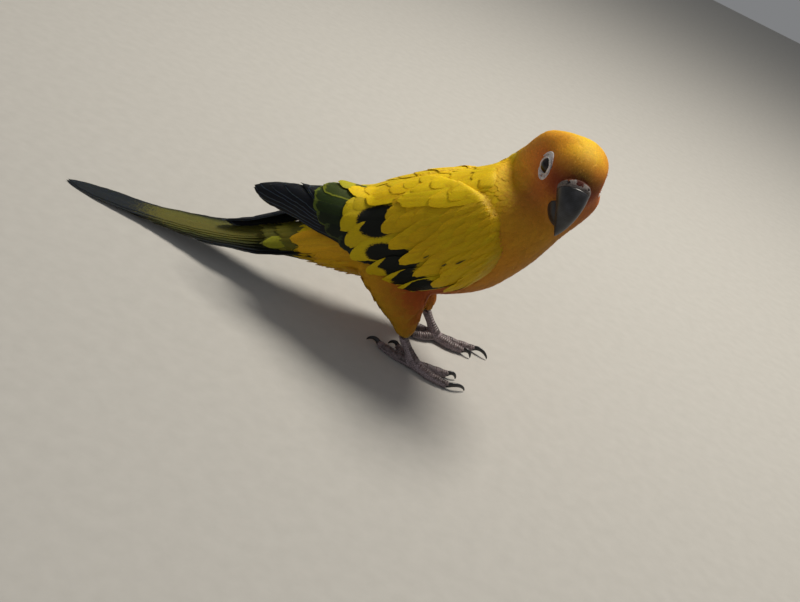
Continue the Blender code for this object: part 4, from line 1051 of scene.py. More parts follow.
def unwrap_head(points):
    """Head's unwrap: the angle round its forward line and the angle from it."""
    local = unit(in_head(points) + np.array((4.0, 0.0, 0.0)))
    polar = np.arccos(np.clip(local[:, 0], -1, 1)) / math.pi
    turn = np.arctan2(local[:, 1], local[:, 2])
    return np.stack([0.5 + 0.48 * polar * np.sin(turn), 0.5 + 0.48 * polar * np.cos(turn)], 1)


PATCH = 0.003


def coat_piece(name, roots, normals, steps, unwrap, rng, **how):
    """One object of joined vanes over a region, with its maps and colours."""
    points, place, colours = grow(roots, normals, steps, rng, **how)
    count, each = points.shape[:2]
    faces = strip_faces(len(steps))[None] + (np.arange(count) * each)[:, None, None]
    obj = make_piece(name, points.reshape(-1, 3), faces.reshape(-1, 3), COAT_MATERIAL, sharp=55)
    colour_points(obj, "coat", colours.reshape(-1, 3))
    root_uv = unwrap(roots)
    span = np.ptp(root_uv, axis=0)
    root_uv = 0.01 + 0.98 * (root_uv - root_uv.min(axis=0)) / span
    patch = np.stack([place[:, :, 2] * 0.5, place[:, :, 3] - 0.5], -1) * PATCH
    map_points(obj, "OFBake", (root_uv[:, None] + patch).reshape(-1, 2))
    map_points(obj, "Vane", (place[:, :, :2] + rng.uniform(0, 50, (count, 1, 2)) * np.array((0, 1))).reshape(-1, 2))
    print(name, "-", count, "feathers,", len(faces) * len(faces[0]), "triangles")
    return obj


# %% Share the coat out by region
root_u, _ = station_of(roots)
root_head = in_head(roots)
on_head = (root_u > 8.0)
face = on_head & (root_head[:, 0] > 2.0) & (root_head[:, 2] < 9.0)
crown = on_head & ~face
neck = ~on_head & (root_u > 6.0)
leg = ~on_head & ~neck & (roots[:, 2] < 36.0) & (roots[:, 0] > -58.0) & (np.abs(roots[:, 1]) > 9.0)
rows_here = between(BODY_ROWS, root_u)
below = ~on_head & ~neck & ~leg & (roots[:, 2] < rows_here[:, 2])
above = ~on_head & ~neck & ~leg & ~below
coat = {}
for name, chosen, steps, unwrap in (
    ("coat_face", face, HEAD_STEPS, unwrap_head),
    ("coat_crown", crown, HEAD_STEPS, unwrap_head),
    ("coat_neck", neck, HEAD_STEPS, unwrap_body),
    ("coat_breast", below, BODY_STEPS, unwrap_body),
    ("coat_back", above, BODY_STEPS, unwrap_body),
    ("coat_thighs", leg, BODY_STEPS, unwrap_body),
):
    coat[name] = coat_piece(name, roots[chosen], root_normals[chosen], steps, unwrap, rng)

# %% [markdown]
# ## Large vanes
#
# Flight feathers, coverts, scapulars and tail feathers are big enough to be seen one by
# one, so each is a fine patch with two faces: an outline that widens from the root and
# rounds or narrows at the tip, a shaft that stands up a little, edges that curve down,
# and a thin rim. The same patch is laid on the wing, the tail or the rump by a rule
# that turns its shares into places there.

# %% One large vane
def outline(share, tip_share, root_width, point):
    """Half width along a vane as a share of its widest."""
    widen = root_width + (1.0 - root_width) * np.sin(math.pi / 2 * np.clip(share / 0.4, 0, 1))
    t = np.clip((share - 1.0 + tip_share) / tip_share, 0.0, 1.0)
    return np.maximum(widen * (1.0 - t**2) ** point, 0.03)


def large_vane(spot, half, length, rng, rows=18, columns=7, tip_share=0.3, root_width=0.6, point=0.5,
               thickness=0.3, camber=0.3, shaft=0.0):
    """Points, faces and positions of one vane; spot lays shares and offsets in place."""
    share = 1.0 - (1.0 - np.linspace(0, 1, rows)) ** 1.35
    side = np.linspace(-1.0, 1.0, columns)
    s, o = np.meshgrid(share, side, indexing="ij")
    ragged = np.where(o > 0, 1.0 + rng.normal(0.0, 0.03, (rows, 1)), 1.0 + rng.normal(0.0, 0.03, (rows, 1)))
    offset = o * half * outline(s, tip_share, root_width, point) * ragged
    reach = s + 0.4 / length * rng.normal(0.0, 1.0, (1, columns)) * (s > 0.9)
    middle = np.exp(-(((o - shaft) / 0.16) ** 2))
    drop = camber * (o - shaft) ** 2 - 0.12 * middle
    top = spot(reach, offset, drop)
    low = spot(reach, offset, drop + thickness * (1.0 - 0.6 * o**4) * (1.0 - 0.5 * s))
    count = rows * columns
    faces = [grid_faces(rows, columns), grid_faces(rows, columns)[:, ::-1] + count]
    rim = np.concatenate([
        np.arange(columns), np.arange(1, rows) * columns + columns - 1,
        (rows - 1) * columns + np.arange(columns - 2, -1, -1), np.arange(rows - 2, 0, -1) * columns,
    ])
    after = np.roll(rim, -1)
    faces.append(np.stack([rim, rim + count, after], 1))
    faces.append(np.stack([after, rim + count, after + count], 1))
    points = np.concatenate([top.reshape(-1, 3), low.reshape(-1, 3)])
    faces = np.concatenate(faces)
    normal = np.cross(top[1, 1] - top[0, 1], top[0, 1] - top[0, 0])
    place = np.stack([offset, s * length, o, s], -1).reshape(-1, 4)
    return points, outward(points, faces), np.concatenate([place, place])


class VaneBundle:
    """Collects vanes of one piece with their colours, marks and maps."""

    def __init__(self, name, rng):
        self.name, self.rng = name, rng
        self.points, self.faces, self.place, self.light, self.dark, self.mark = [], [], [], [], [], []
        self.islands = []

    def add(self, spot, half, length, light, dark, mark, **form):
        """Add one vane; mark is a rule of share and side, above 0.5 where it is dark."""
        points, faces, place = large_vane(spot, half, length, self.rng, **form)
        before = sum(len(p) for p in self.points)
        shade = self.rng.normal(1.0, 0.03)
        tint = 1.0 + self.rng.normal(0.0, 0.02, 3)
        fade = (0.90 + 0.12 * place[:, 3])[:, None]
        self.points.append(points)
        self.faces.append(faces + before)
        self.place.append(place)
        self.light.append((np.array(linear(light)) * shade * tint * fade).clip(0, 1))
        self.dark.append(np.broadcast_to(np.array(linear(dark)) * shade, points.shape))
        self.mark.append(mark(place[:, 3], place[:, 2], points))

    def finish(self, material):
        """Join the vanes into one object with an island for each vane in its map."""
        obj = make_piece(self.name, np.concatenate(self.points), np.concatenate(self.faces), material, sharp=60)
        colour_points(obj, "vane_light", np.concatenate(self.light))
        colour_points(obj, "vane_dark", np.concatenate(self.dark))
        number_points(obj, "vane_mark", np.concatenate(self.mark))
        count = len(self.place)
        columns = max(1, int(math.ceil(math.sqrt(count * 3.0))))
        rows = int(math.ceil(count / columns))
        islands, maps = [], []
        for i, place in enumerate(self.place):
            corner = np.array((i % columns, i // columns), dtype=float)
            local = np.stack([0.5 + 0.42 * place[:, 2], 0.04 + 0.92 * place[:, 3]], 1)
            local[len(local) // 2:, 0] = 0.5 + (local[len(local) // 2:, 0] - 0.5) * 0.98
            islands.append((corner + local) / np.array((columns, rows)))
            maps.append(place[:, :2] + np.array((0.0, 7.3 * i)))
        map_points(obj, "OFBake", np.concatenate(islands))
        map_points(obj, "Vane", np.concatenate(maps))
        print(self.name, "-", count, "vanes,", len(obj.data.polygons), "triangles")
        return obj


# %% Rules that lay a vane on the wing
ROOT_SINK = 0.5


def on_wing(wing, path, lift, tilt, extra=0.0):
    """Rule for a vane along a path of x and angle in degrees, from root to tip."""
    path = np.array(path, dtype=float)
    path[:, 1] = np.radians(path[:, 1])
    last = len(path) - 1

    def spot(share, offset, drop):
        u = np.clip(share, 0, 1.02) * last
        centre = between(path, u)
        step = between(path, np.minimum(u + 0.05, last)) - between(path, np.maximum(u - 0.05, 0.0))
        x, angle = centre[..., 0], centre[..., 1]
        reach = wing.read(wing.carrier, x, angle)
        way = unit(np.stack([step[..., 0], step[..., 1] * reach], -1))
        x = x - way[..., 1] * offset
        angle = np.maximum(angle - way[..., 0] * offset / reach, WING_PARTING / reach)
        along = np.clip((x - wing.tip) / wing.span, 0, 1)
        top, low = edge_angles(along)
        pad = pad_thickness(along, (angle - top) / np.maximum(low - top, 0.01))
        height = pad + extra - ROOT_SINK + (lift + ROOT_SINK) * share + tilt * offset * np.minimum(1.0, 2 * share) - drop
        return wing.place(x, angle, height)

    return spot


def path_length(wing, path):
    """Length in mm of a path of x and angle over the wing."""
    points = wing.place(*np.array([(x, math.radians(a)) for x, a in path]).T, 1.0)
    return np.linalg.norm(np.diff(points, axis=0), axis=1).sum()


# %% [markdown]
# ## Wings, tier by tier
#
# From the tip forward come the blue-black primaries, the olive secondaries and tertials,
# the greater coverts with dark centres and yellow tips, the yellow median and lesser
# coverts, and over the shoulder the long yellow scapulars. Each tier is a loop along a
# line of tips that was read off the photograph as x and angle. Later tiers lie on
# earlier ones, as on the bird.

# %% Marks of the wing's feathers
def plain(share, side, points):
    return np.full(len(share), -1.0)


def edged(width, tip=0.03, soft=0.12):
    """Dark but for a pale edge of the given share of the half width."""
    def mark(share, side, points):
        return 0.1 + np.minimum((1.0 - width - np.abs(side)) / soft, (1.0 - tip - share) / (0.4 * soft))
    return mark


def dark_centre(reach, width, softness=0.1):
    """Dark from the root to a share of the length, inside a share of the width."""
    def mark(share, side, points):
        narrowing = width * (1.0 - 0.55 * np.clip((share - reach + 0.3) / 0.3, 0, 1) ** 2)
        return np.minimum((reach - share) / softness, (narrowing - np.abs(side)) / 0.2) + 0.05
    return mark


def half_dark(reach, low, high):
    """Dark on one web and yellow on the other, as the lowest coverts are."""
    def mark(share, side, points):
        return np.minimum((reach - share) / 0.1, np.minimum((side - low) / 0.2, (high - side) / 0.2)) + 0.05
    return mark


# %% The tiers
PRIMARY_DARK, PRIMARY_EDGE = "#0D1017", "#39434E"
TERTIAL_EDGE, TERTIAL_DARK = "#5F6A1C", "#28330F"
# The coverts' yellows are the wing's golden tone, darker than the scapulars' yellow as painted shade of the wing's
# side.
GREATER_DARK, COVERT_YELLOW_WITH_SHADE = "#0B0F08", "#CFAC06"
MEDIAN_YELLOW_WITH_SHADE, SCAPULAR_YELLOW = "#DCAB02", "#F6C402"
PRIMARY_LINE = np.array([(-123.0, 77.0), (-112.0, 70.0), (-95.0, 82.0), (-62.0, 95.0)])
PRIMARY_TIPS = [(-121.0, 82.0), (-123.6, 66.0), (-124.0, 46.0), (-122.0, 27.0), (-116.5, 33.0), (-110.5, 28.0), (-103.5, 16.0), (-99.0, 30.0)]
TERTIALS = [
    # tip x and angle, root x and angle, half width, edge and middle colour
    (-67.5, 103.0, -38.0, 96.0, 4.4, "#232B20", "#0B100F"),
    (-74.5, 95.0, -42.0, 89.0, 4.4, "#2C3620", "#0D130E"),
    (-83.0, 84.0, -48.0, 78.0, 4.6, "#38431C", "#10180B"),
    (-89.5, 70.0, -52.0, 66.0, 4.9, "#46521C", "#16200A"),
    (-93.0, 54.0, -56.0, 51.0, 5.1, "#55621E", "#1D2A0A"),
    (-95.0, 38.0, -58.0, 37.0, 5.0, "#66721F", "#26350C"),
    (-92.5, 22.0, -60.0, 24.0, 5.0, "#7C8120", "#36430E"),
]
GREATER_TIPS = [(-76.0, 34.0), (-78.5, 47.0), (-76.8, 66.0), (-72.0, 84.0), (-65.5, 98.5), (-55.5, 112.5), (-46.5, 120.0), (-39.0, 130.0)]
MEDIAN_TIPS = [(-59.0, 36.0), (-60.0, 50.0), (-57.0, 66.0), (-47.5, 83.0), (-38.0, 96.0), (-27.0, 112.0), (-18.0, 123.0)]
DARK_ZONES = (
    # x, angle, reach along x in mm and round in degrees, slant
    (-61.5, 60.0, 9.5, 20.0, 0.0),
    (-48.0, 96.0, 12.5, 15.0, 0.12),
    (-37.5, 114.0, 10.0, 10.0, 0.3),
    (-29.0, 124.0, 14.0, 10.0, 0.0),
)
DARK_SPOTS = (
    # root x and angle, tip x and angle, half width, colour
    (-8.0, 118.5, -15.0, 130.0, 1.5, "#14160A"),
    (-16.0, 87.0, -20.2, 92.0, 1.0, "#3E3A08"),
    (-21.0, 89.5, -25.6, 94.5, 1.2, "#4A4408"),
    (-31.0, 83.0, -35.0, 88.0, 0.9, "#5E5608"),
)


def tip_line(tips, count, i):
    return between(tips, (len(tips) - 1) * i / (count - 1))


def dark_zones(wing):
    """Dark inside the zones of the wing's chart, but for each feather's edge and tip."""
    stretch = wing.span / WINGS["right"].span

    def mark(share, side, points):
        up, out = points[:, 2] - wing.row(points[:, 0])[0], wing.sign * points[:, 1]
        angle = np.degrees(np.arctan2(out, up))
        inside_zone = np.full(len(points), -1.0)
        for x, middle, long, wide, slant in DARK_ZONES:
            along = points[:, 0] - stretched(x, stretch) - slant * (angle - middle)
            inside_zone = np.maximum(inside_zone, 2.2 * (1.0 - np.hypot(along / long, (angle - middle) / wide)))
        rim = np.where(angle < 103.0, 1.0, (0.90 - np.abs(side)) / 0.15)
        return np.minimum(inside_zone, np.minimum(rim, (0.86 - share) / 0.06))
    return mark


def stretched(x, stretch):
    """The left wing is a little longer: its places lie further back in proportion."""
    return WING_BEND + (x - WING_BEND) * stretch


def wing_primaries(wing, bundle, stretch):
    for i, (tip_x, tip_angle) in enumerate(PRIMARY_TIPS):
        path = []
        for k in range(8):
            t = k / 7
            x = -60.0 + (tip_x + 60.0) * t
            reach = float(wing.read(wing.carrier, np.array(stretched(x, stretch)), np.array(1.4)))
            angle = np.interp(x, *PRIMARY_LINE.T) - math.degrees(1.35 * i / reach)
            angle += (tip_angle - angle) * t**6
            path.append((stretched(x, stretch), max(angle, 8.0)))
        bundle.add(
            on_wing(wing, path, 0.3 + 0.15 * i, 0.05), 4.4, path_length(wing, path), PRIMARY_EDGE, PRIMARY_DARK,
            edged(0.08, 0.01), rows=26, tip_share=0.22, root_width=0.8, point=0.75, shaft=0.35, camber=0.3, thickness=0.3,
        )


def wing_tertials(wing, bundle, stretch):
    for i, (tip_x, tip_angle, root_x, root_angle, half, light, dark) in enumerate(TERTIALS):
        path = [(root_x, root_angle), ((root_x + tip_x) / 2, (root_angle + tip_angle) / 2 + 1.5), (tip_x, tip_angle)]
        path = [(stretched(x, stretch), angle) for x, angle in path]
        bundle.add(
            on_wing(wing, path, 1.35 + 0.2 * i, 0.06), half, path_length(wing, path), light, dark,
            edged(0.16, 0.05, 0.25), rows=22, columns=11, tip_share=0.2, root_width=0.75, point=0.5, shaft=0.1, camber=0.35,
        )


def wing_greater_coverts(wing, bundle, stretch):
    count = 8
    for i in range(count):
        x, angle = tip_line(GREATER_TIPS, count, i)
        x = stretched(x, stretch) + bundle.rng.normal(0, 0.4)
        path = [(x + 25, angle - 18), (x + 12.5, angle - 9), (x, angle)]
        bundle.add(
            on_wing(wing, path, 1.5, 0.03, 0.6), 7.2, path_length(wing, path), COVERT_YELLOW_WITH_SHADE, GREATER_DARK,
            dark_zones(wing), rows=24, columns=11, tip_share=0.24, root_width=0.8, camber=0.22, thickness=0.25,
        )


def wing_median_coverts(wing, bundle, stretch):
    for row, (back, count) in enumerate(((0.0, 8), (6.5, 8))):
        for i in range(count):
            x, angle = tip_line(MEDIAN_TIPS, count, min(i + 0.5 * row, count - 1))
            x = stretched(x + back, stretch) + bundle.rng.normal(0, 0.5)
            path = [(x + 17, angle - 12), (x + 8.5, angle - 6), (x, angle + bundle.rng.normal(0, 1.2))]
            bundle.add(
                on_wing(wing, path, 1.15 - 0.15 * row, 0.012, 0.9), 6.8, path_length(wing, path), MEDIAN_YELLOW_WITH_SHADE, GREATER_DARK,
                plain, rows=18, columns=9, tip_share=0.42, root_width=0.8, camber=0.16, thickness=0.2,
            )


def wing_lesser_coverts(wing, bundle, stretch):
    rows, lines = 7, 12
    tips = np.array(MEDIAN_TIPS)
    for row in range(rows):
        for i in range(lines):
            angle = 35.0 + 91.0 * (i + 0.5 * (row % 2) + bundle.rng.normal(0, 0.12)) / (lines - 0.5)
            behind = stretched(np.interp(angle, tips[:, 1], tips[:, 0]) + 8.0, stretch)
            front = float(wing.front(math.radians(angle))) + 1.5
            gap = (front - behind) / (rows + 0.2)
            if gap < 2.0 and (row + i) % 2:
                continue
            forward = (row + 0.75) / (rows + 0.2)
            x = behind + (front - behind) * forward + bundle.rng.normal(0, 0.5)
            size = 1.0 - 0.40 * forward
            ahead = min(14.0 * size, front + 2.0 - x)
            turn = 0.7 * ahead
            path = [(x + ahead, angle - turn), (x + ahead / 2, angle - turn / 2), (x, angle)]
            bundle.add(
                on_wing(wing, path, 0.55, 0.005, 1.25 - 0.6 * forward), 5.8 * size, path_length(wing, path), MEDIAN_YELLOW_WITH_SHADE,
                GREATER_DARK, plain, rows=11, columns=7, tip_share=0.5, root_width=0.8, camber=0.07, thickness=0.1,
            )


def wing_dark_spots(wing, bundle, stretch):
    """The few small dark feathers that show among the lesser coverts."""
    for root_x, root_angle, tip_x, tip_angle, half, colour in DARK_SPOTS:
        path = [(root_x, root_angle), ((root_x + tip_x) / 2, (root_angle + tip_angle) / 2 + 1.0), (tip_x, tip_angle)]
        path = [(stretched(x, stretch), angle) for x, angle in path]
        bundle.add(
            on_wing(wing, path, 0.75, 0.0, 1.25), half, path_length(wing, path), colour, colour,
            plain, rows=11, columns=5, tip_share=0.6, root_width=0.2, camber=0.05, thickness=0.1,
        )


def wing_scapulars(wing, bundle, stretch):
    for line, angle in enumerate((8.0, 13.0, 18.5, 24.5, 30.5, 36.5)):
        rear = np.interp(angle, (8.0, 12.0, 29.0, 38.0), (-84.0, -83.5, -74.5, -64.0))
        for row in range(4):
            x = stretched(rear + 16.0 * (row + 0.5 * (line % 2)), stretch) + bundle.rng.normal(0, 1.6)
            front = float(wing.front(math.radians(angle)))
            if x > front - 9.0:
                break
            ahead = min(33.0, front + 2.0 - x)
            wander = bundle.rng.normal(0, 1.2)
            path = [(x + ahead, max(angle - 0.22 * ahead, 3.0)), (x + ahead / 2, angle - 0.11 * ahead), (x, angle + wander)]
            olive = row < 1 and line < (2 if wing.sign > 0 else 1)
            bundle.add(
                on_wing(wing, path, 1.5 + 0.3 * olive, 0.012, 1.1), 4.6, path_length(wing, path), "#B4A814" if olive else SCAPULAR_YELLOW,
                "#4A5210", dark_centre(0.75, 0.6) if olive else plain, rows=22, columns=9, tip_share=0.22, root_width=0.7,
                camber=0.14, thickness=0.18,
            )


def wing_fringe(wing, bundle):
    """Neck and breast feathers that lie over the wing's front edge."""
    for row in range(2):
        for angle in np.arange(14.0, 112.0, 2.6) + 1.3 * row:
            at = float(wing.front(math.radians(angle)))
            x = at + 1.6 + 2.0 * row + bundle.rng.normal(0, 0.35)
            path = [(x + 7.5, angle - 3.0), (x + 3.7, angle - 1.5), (x, angle)]
            root = wing.place(at + 3.0, math.radians(angle), 1.0)[None]
            tone = markings(root)[0, :3]
            tone = "#" + "".join("%02X" % int(255 * (1.055 * c ** (1 / 2.4) - 0.055)) for c in tone.clip(0.004, 1))
            bundle.add(
                on_wing(wing, path, 1.0, 0.0, 1.3 - 0.4 * row), 1.9, 7.5, tone, tone,
                plain, rows=9, columns=5, tip_share=0.6, root_width=0.6, camber=0.08, thickness=0.1,
            )


# %% The wing's bed and its pieces
def wing_pad(wing, name):
    """Thin closed bed under the vanes."""
    shares = 0.1 + 0.9 * (0.5 - 0.5 * np.cos(np.pi * (0.02 + 0.96 * np.linspace(0, 1, 44))))
    rings = []
    for share in shares:
        top, low = edge_angles(share)
        inset = min(math.radians(3.0), 0.2 * (low - top))
        angle = np.linspace(top + inset, low - inset, 30)
        x = np.full(30, wing.tip + wing.span * share)
        across = (angle - top) / max(low - top, 0.01)
        outer = wing.place(x, angle, pad_thickness(share, across) - 0.25)
        inner = wing.place(x, angle, 0.0)
        rings.append(np.concatenate([outer, inner[::-1]]))
    points, faces = tube(rings)
    obj = make_piece(name, points, outward(points, faces), VANE_MATERIAL, sharp=50)
    share = (points[:, 0] - wing.tip) / wing.span
    colours = np.array(linear("#C9A808"))[None] * ramp(share, 0.5, 0.62)[:, None]
    colours = colours + np.array(linear("#12160E"))[None] * (1 - ramp(share, 0.5, 0.62))[:, None]
    colour_points(obj, "vane_light", colours)
    colour_points(obj, "vane_dark", colours * 0.5)
    number_points(obj, "vane_mark", np.full(len(points), -1.0))
    flat = np.stack([share, np.tile(np.linspace(0, 1, 60), 44).tolist() + [0.5, 0.5]], 1)
    map_points(obj, "OFBake", flat * 0.96 + 0.02)
    map_points(obj, "Vane", points[:, [2, 0]])
    return obj


wing_pieces = {}
for side_name, wing in WINGS.items():
    wing_rng = np.random.default_rng(21 if side_name == "right" else 22)
    stretch = wing.span / WINGS["right"].span
    flight = VaneBundle("wing_%s_flight_feathers" % side_name, wing_rng)
    wing_primaries(wing, flight, stretch)
    wing_tertials(wing, flight, stretch)
    coverts = VaneBundle("wing_%s_coverts" % side_name, wing_rng)
    wing_greater_coverts(wing, coverts, stretch)
    wing_median_coverts(wing, coverts, stretch)
    wing_lesser_coverts(wing, coverts, stretch)
    wing_dark_spots(wing, coverts, stretch)
    shoulder = VaneBundle("wing_%s_scapulars" % side_name, wing_rng)
    wing_scapulars(wing, shoulder, stretch)
    wing_fringe(wing, shoulder)
    wing_pieces[side_name] = [bundle.finish(VANE_MATERIAL) for bundle in (flight, coverts, shoulder)]
    wing_pieces[side_name].append(wing_pad(wing, "wing_%s_bed" % side_name))

# %% Mantle: long back feathers that end over the scapulars
BACK_STEPS = (72, 34)


def back_table():
    """Height of the body's back over a grid of x and side."""
    xs, ys = np.linspace(-72.0, 2.0, BACK_STEPS[0]), np.linspace(-22.0, 22.0, BACK_STEPS[1])
    heights = np.zeros(BACK_STEPS)
    for i, k in np.ndindex(BACK_STEPS):
        hit = BODY_TREE.ray_cast(Vector((xs[i], ys[k], 160.0)), Vector((0, 0, -1)))[0]
        heights[i, k] = hit.z if hit is not None else 50.0
    return xs, ys, heights


BACK_X, BACK_Y, BACK_Z = back_table()


def on_back(x, y, length, lift):
    """Rule for a vane on the back, from root to tip."""
    def spot(share, offset, drop):
        at_x = x + length * (1.0 - share)
        at_y = y * (0.8 + 0.2 * share) + offset
        fx = np.clip((at_x - BACK_X[0]) / (BACK_X[1] - BACK_X[0]), 0, BACK_STEPS[0] - 1.001)
        fy = np.clip((at_y - BACK_Y[0]) / (BACK_Y[1] - BACK_Y[0]), 0, BACK_STEPS[1] - 1.001)
        i, k = fx.astype(int), fy.astype(int)
        s, t = fx - i, fy - k
        z = (BACK_Z[i, k] * (1 - t) + BACK_Z[i, k + 1] * t) * (1 - s) + (BACK_Z[i + 1, k] * (1 - t) + BACK_Z[i + 1, k + 1] * t) * s
        return np.stack([at_x, at_y, z - 2.2 + (lift + 2.2) * share - drop], -1)
    return spot


mantle_rng = np.random.default_rng(25)
mantle = VaneBundle("mantle_feathers", mantle_rng)
for row in range(4):
    for i in range(7):
        y = (i - 3 + 0.5 * (row % 2)) * 4.3
        x = -57.0 + 8.0 * row + 0.045 * y * y + mantle_rng.normal(0, 1.2)
        length = min(26.0, -16.0 - x)
        mantle.add(
            on_back(x, y + mantle_rng.normal(0, 0.5), length, (3.1, 1.9, 1.2, 0.7)[row]), 4.6, length, "#F6C403", "#F6C403",
            plain, rows=18, tip_share=0.25, root_width=0.7, camber=0.16, thickness=0.18,
        )
mantle_piece = mantle.finish(VANE_MATERIAL)

# %% [markdown]
# ## Tail and its coverts
#
# The tail is long, pointed and stepped: twelve feathers in six pairs, each pair a
# little shorter and lower than the one above it, held in a root under the coverts. It
# slopes down until the longest pair rests on the floor. From above it is olive with a
# dusky end, and its edges are dark.

# %% Tail feathers
TAIL_LINE = [
    (-119.0, 16.0, 12.0, 3.6),
    (-133.0, 11.4, 11.5, 2.8),
    (-150.0, 7.8, 10.2, 2.0),
    (-170.0, 4.5, 8.0, 1.3),
    (-196.0, 1.9, 4.5, 0.7),
    (-213.5, 0.45, 1.6, 0.45),
]
TAIL_TIPS = (-213.5, -201.0, -188.0, -174.0, -160.0, -146.0)
TAIL_FEATHER_HALF, TAIL_PAIR_STEP, TAIL_SIDE_STEP, TAIL_DROOP, TAIL_ROLL = 5.4, 0.42, 0.2, 0.07, 0.1
TAIL_ROOT_X = -80.0
BODY_END = BODY_ROWS[0]
TAIL_ROWS = np.array([(-78.0, 36.0, 15.5, 5.0), (-89.0, 30.0, 13.8, 5.0), (-101.4, 24.4, 12.6, 5.0)] + TAIL_LINE)
TAIL_CURVE = between(TAIL_ROWS, np.linspace(0, len(TAIL_ROWS) - 1, 160))
TAIL_CURVE = TAIL_CURVE[np.argsort(TAIL_CURVE[:, 0])]


def on_tail(pair, side, tip):
    """Rule for a tail feather; pair counts from the middle, on top."""
    def spot(share, offset, drop):
        x = TAIL_ROOT_X + (tip - TAIL_ROOT_X) * share
        half = np.interp(x, TAIL_CURVE[:, 0], TAIL_CURVE[:, 2])
        top = np.interp(x, TAIL_CURVE[:, 0], TAIL_CURVE[:, 1] + TAIL_CURVE[:, 3])
        room = np.maximum(half - TAIL_FEATHER_HALF, 0.0)
        y = side * (0.6 + room * pair / (len(TAIL_TIPS) - 1)) + offset
        step = TAIL_PAIR_STEP + 0.8 * ramp(x, -126.0, -104.0) - 0.6 * ramp(x, -100.0, -84.0)
        z = top - pair * step * (1.0 if side < 0 else 0.3) - TAIL_DROOP * np.maximum(-y, 0.0) + TAIL_ROLL * y
        z = z - (TAIL_SIDE_STEP if side < 0 else 0.0) - drop
        return np.stack([x, y, np.maximum(z, 0.02 + 0.3 * (drop < 0.2))], -1)
    return spot


def tail_mark(share, side, points):
    """Olive at the root, dusky towards the tip and on the tail's outer edges; the outer edges are partly painted shade
    of its underside.
    """
    outer = ramp(np.abs(points[:, 1]), 9.5, 12.5) * ramp(share, 0.1, 0.3)
    return 0.75 * ramp(points[:, 0], -146.0, -204.0) + 0.6 * outer + 0.2 * ramp(np.abs(side), 0.85, 1.0) - 0.3


# From the middle pair out: olive turning dusky, the lower outer pairs darkened further as painted shade of the tail's
# underside.
TAIL_COLOURS_WITH_SHADE = ("#5E5A22", "#54511E", "#3C3D16", "#23260F", "#15180D", "#0F120C")
tail_rng = np.random.default_rng(31)
tail = VaneBundle("tail_feathers", tail_rng)
for pair, tip in reversed(list(enumerate(TAIL_TIPS))):
    for side in (-1.0, 1.0):
        tail.add(
            on_tail(pair, side, tip), TAIL_FEATHER_HALF, TAIL_ROOT_X - tip, TAIL_COLOURS_WITH_SHADE[pair],
            "#171D22", tail_mark, rows=36, columns=9, tip_share=0.22, root_width=0.95, point=0.6,
            camber=0.25, thickness=0.35, shaft=-0.15 * side,
        )
tail_piece = tail.finish(VANE_MATERIAL)

# %% Tail coverts above and below
TAIL_COVERT_CLEARANCE = 1.0


def sleeve(v):
    """Middle, up, half width, reach up and down of the coverts' bed.

    v counts body stations: it is negative on the torso and positive over the tail.
    """
    v = np.asarray(v, dtype=float)
    row = between(BODY_ROWS, np.maximum(-v, 0.0))
    x, z, half, deep = TAIL_LINE[0]
    half, deep = half + TAIL_COVERT_CLEARANCE, deep + TAIL_COVERT_CLEARANCE
    t = np.maximum(v, 0.0)[..., None]
    end = BODY_END
    far_middle = np.stack([end[0] + (x - end[0]) * t[..., 0], 0 * t[..., 0], end[2] + (z - end[2]) * t[..., 0]], -1)
    far_sizes = np.array((end[5], end[4], end[3])) + (np.array((half, deep, deep)) - np.array((end[5], end[4], end[3]))) * t
    behind = (v <= 0)[..., None]
    middle = np.where(behind, row[..., :3], far_middle)
    sizes = np.where(behind, row[..., [5, 4, 3]], far_sizes)
    way = np.where(behind, row[..., 8:11], end[8:11])
    up = np.stack([-way[..., 2], 0 * way[..., 0], way[..., 0]], -1)
    return middle, up, sizes[..., 0], sizes[..., 1], sizes[..., 2]


def on_sleeve(root, tip, turn, lift, aside):
    """Rule for a covert over the tail's root."""
    def spot(share, offset, drop):
        v = root + (tip - root) * share
        middle, up, half, above, below = sleeve(v)
        angle = turn + offset / half
        reach = np.where(np.cos(angle) > 0, above, below)
        rise = -1.0 + (lift + 1.0) * share - TAIL_SIDE_STEP * 2 * abs(aside) - drop
        across = np.stack([0 * angle, (half + rise) * np.sin(angle), 0 * angle], -1)
        return middle + across + ((reach + rise) * np.cos(angle))[..., None] * up
    return spot


covert_rng = np.random.default_rng(41)
tail_coverts = VaneBundle("tail_coverts", covert_rng)
for name, middle_turn, spread, count, root, tips, lift, half, light, dark in (
    ("long_upper", 0.0, 96.0, 11, -0.85, (0.55, 0.34), 0.2, 4.2, "#55531A", "#484817"),
    ("short_upper", 0.0, 100.0, 12, -1.5, (0.02, -0.2), 0.6, 4.2, "#646016", "#55531A"),
    ("long_under", 180.0, 40.0, 6, -0.7, (0.7, 0.5), 0.3, 4.2, "#2E2F14", "#20220F"),
    ("short_under", 180.0, 62.0, 8, -2.1, (0.1, -0.1), 0.6, 4.0, "#3A3814", "#26280F"),
    ("vent_feathers", 180.0, 122.0, 17, -3.1, (-2.0, -0.62), 1.3, 4.4, "#D89E12", "#C8900E"),
):
    for i in range(count):
        aside = 2.0 * i / (count - 1) - 1.0
        turn = math.radians(middle_turn + spread * aside)
        tip = tips[0] + (tips[1] - tips[0]) * aside**2 + covert_rng.normal(0, 0.15)
        tail_coverts.add(
            on_sleeve(root, tip, turn, lift, aside), half, (tip - root) * 14.0, light, dark,
            dark_centre(0.6, 0.5, 0.3), rows=14, tip_share=0.35, root_width=0.6, camber=0.4,
        )
for side, tip in ((-1.0, 0.33), (1.0, 0.28)):
    tail_coverts.add(
        on_sleeve(-0.8, tip, side * math.radians(72.0), 1.3, 0.0), 4.6, 16.0, "#8E8C1C", "#64661A",
        dark_centre(0.5, 0.4, 0.3), rows=18, columns=9, tip_share=0.25, root_width=0.6, camber=0.4,
    )
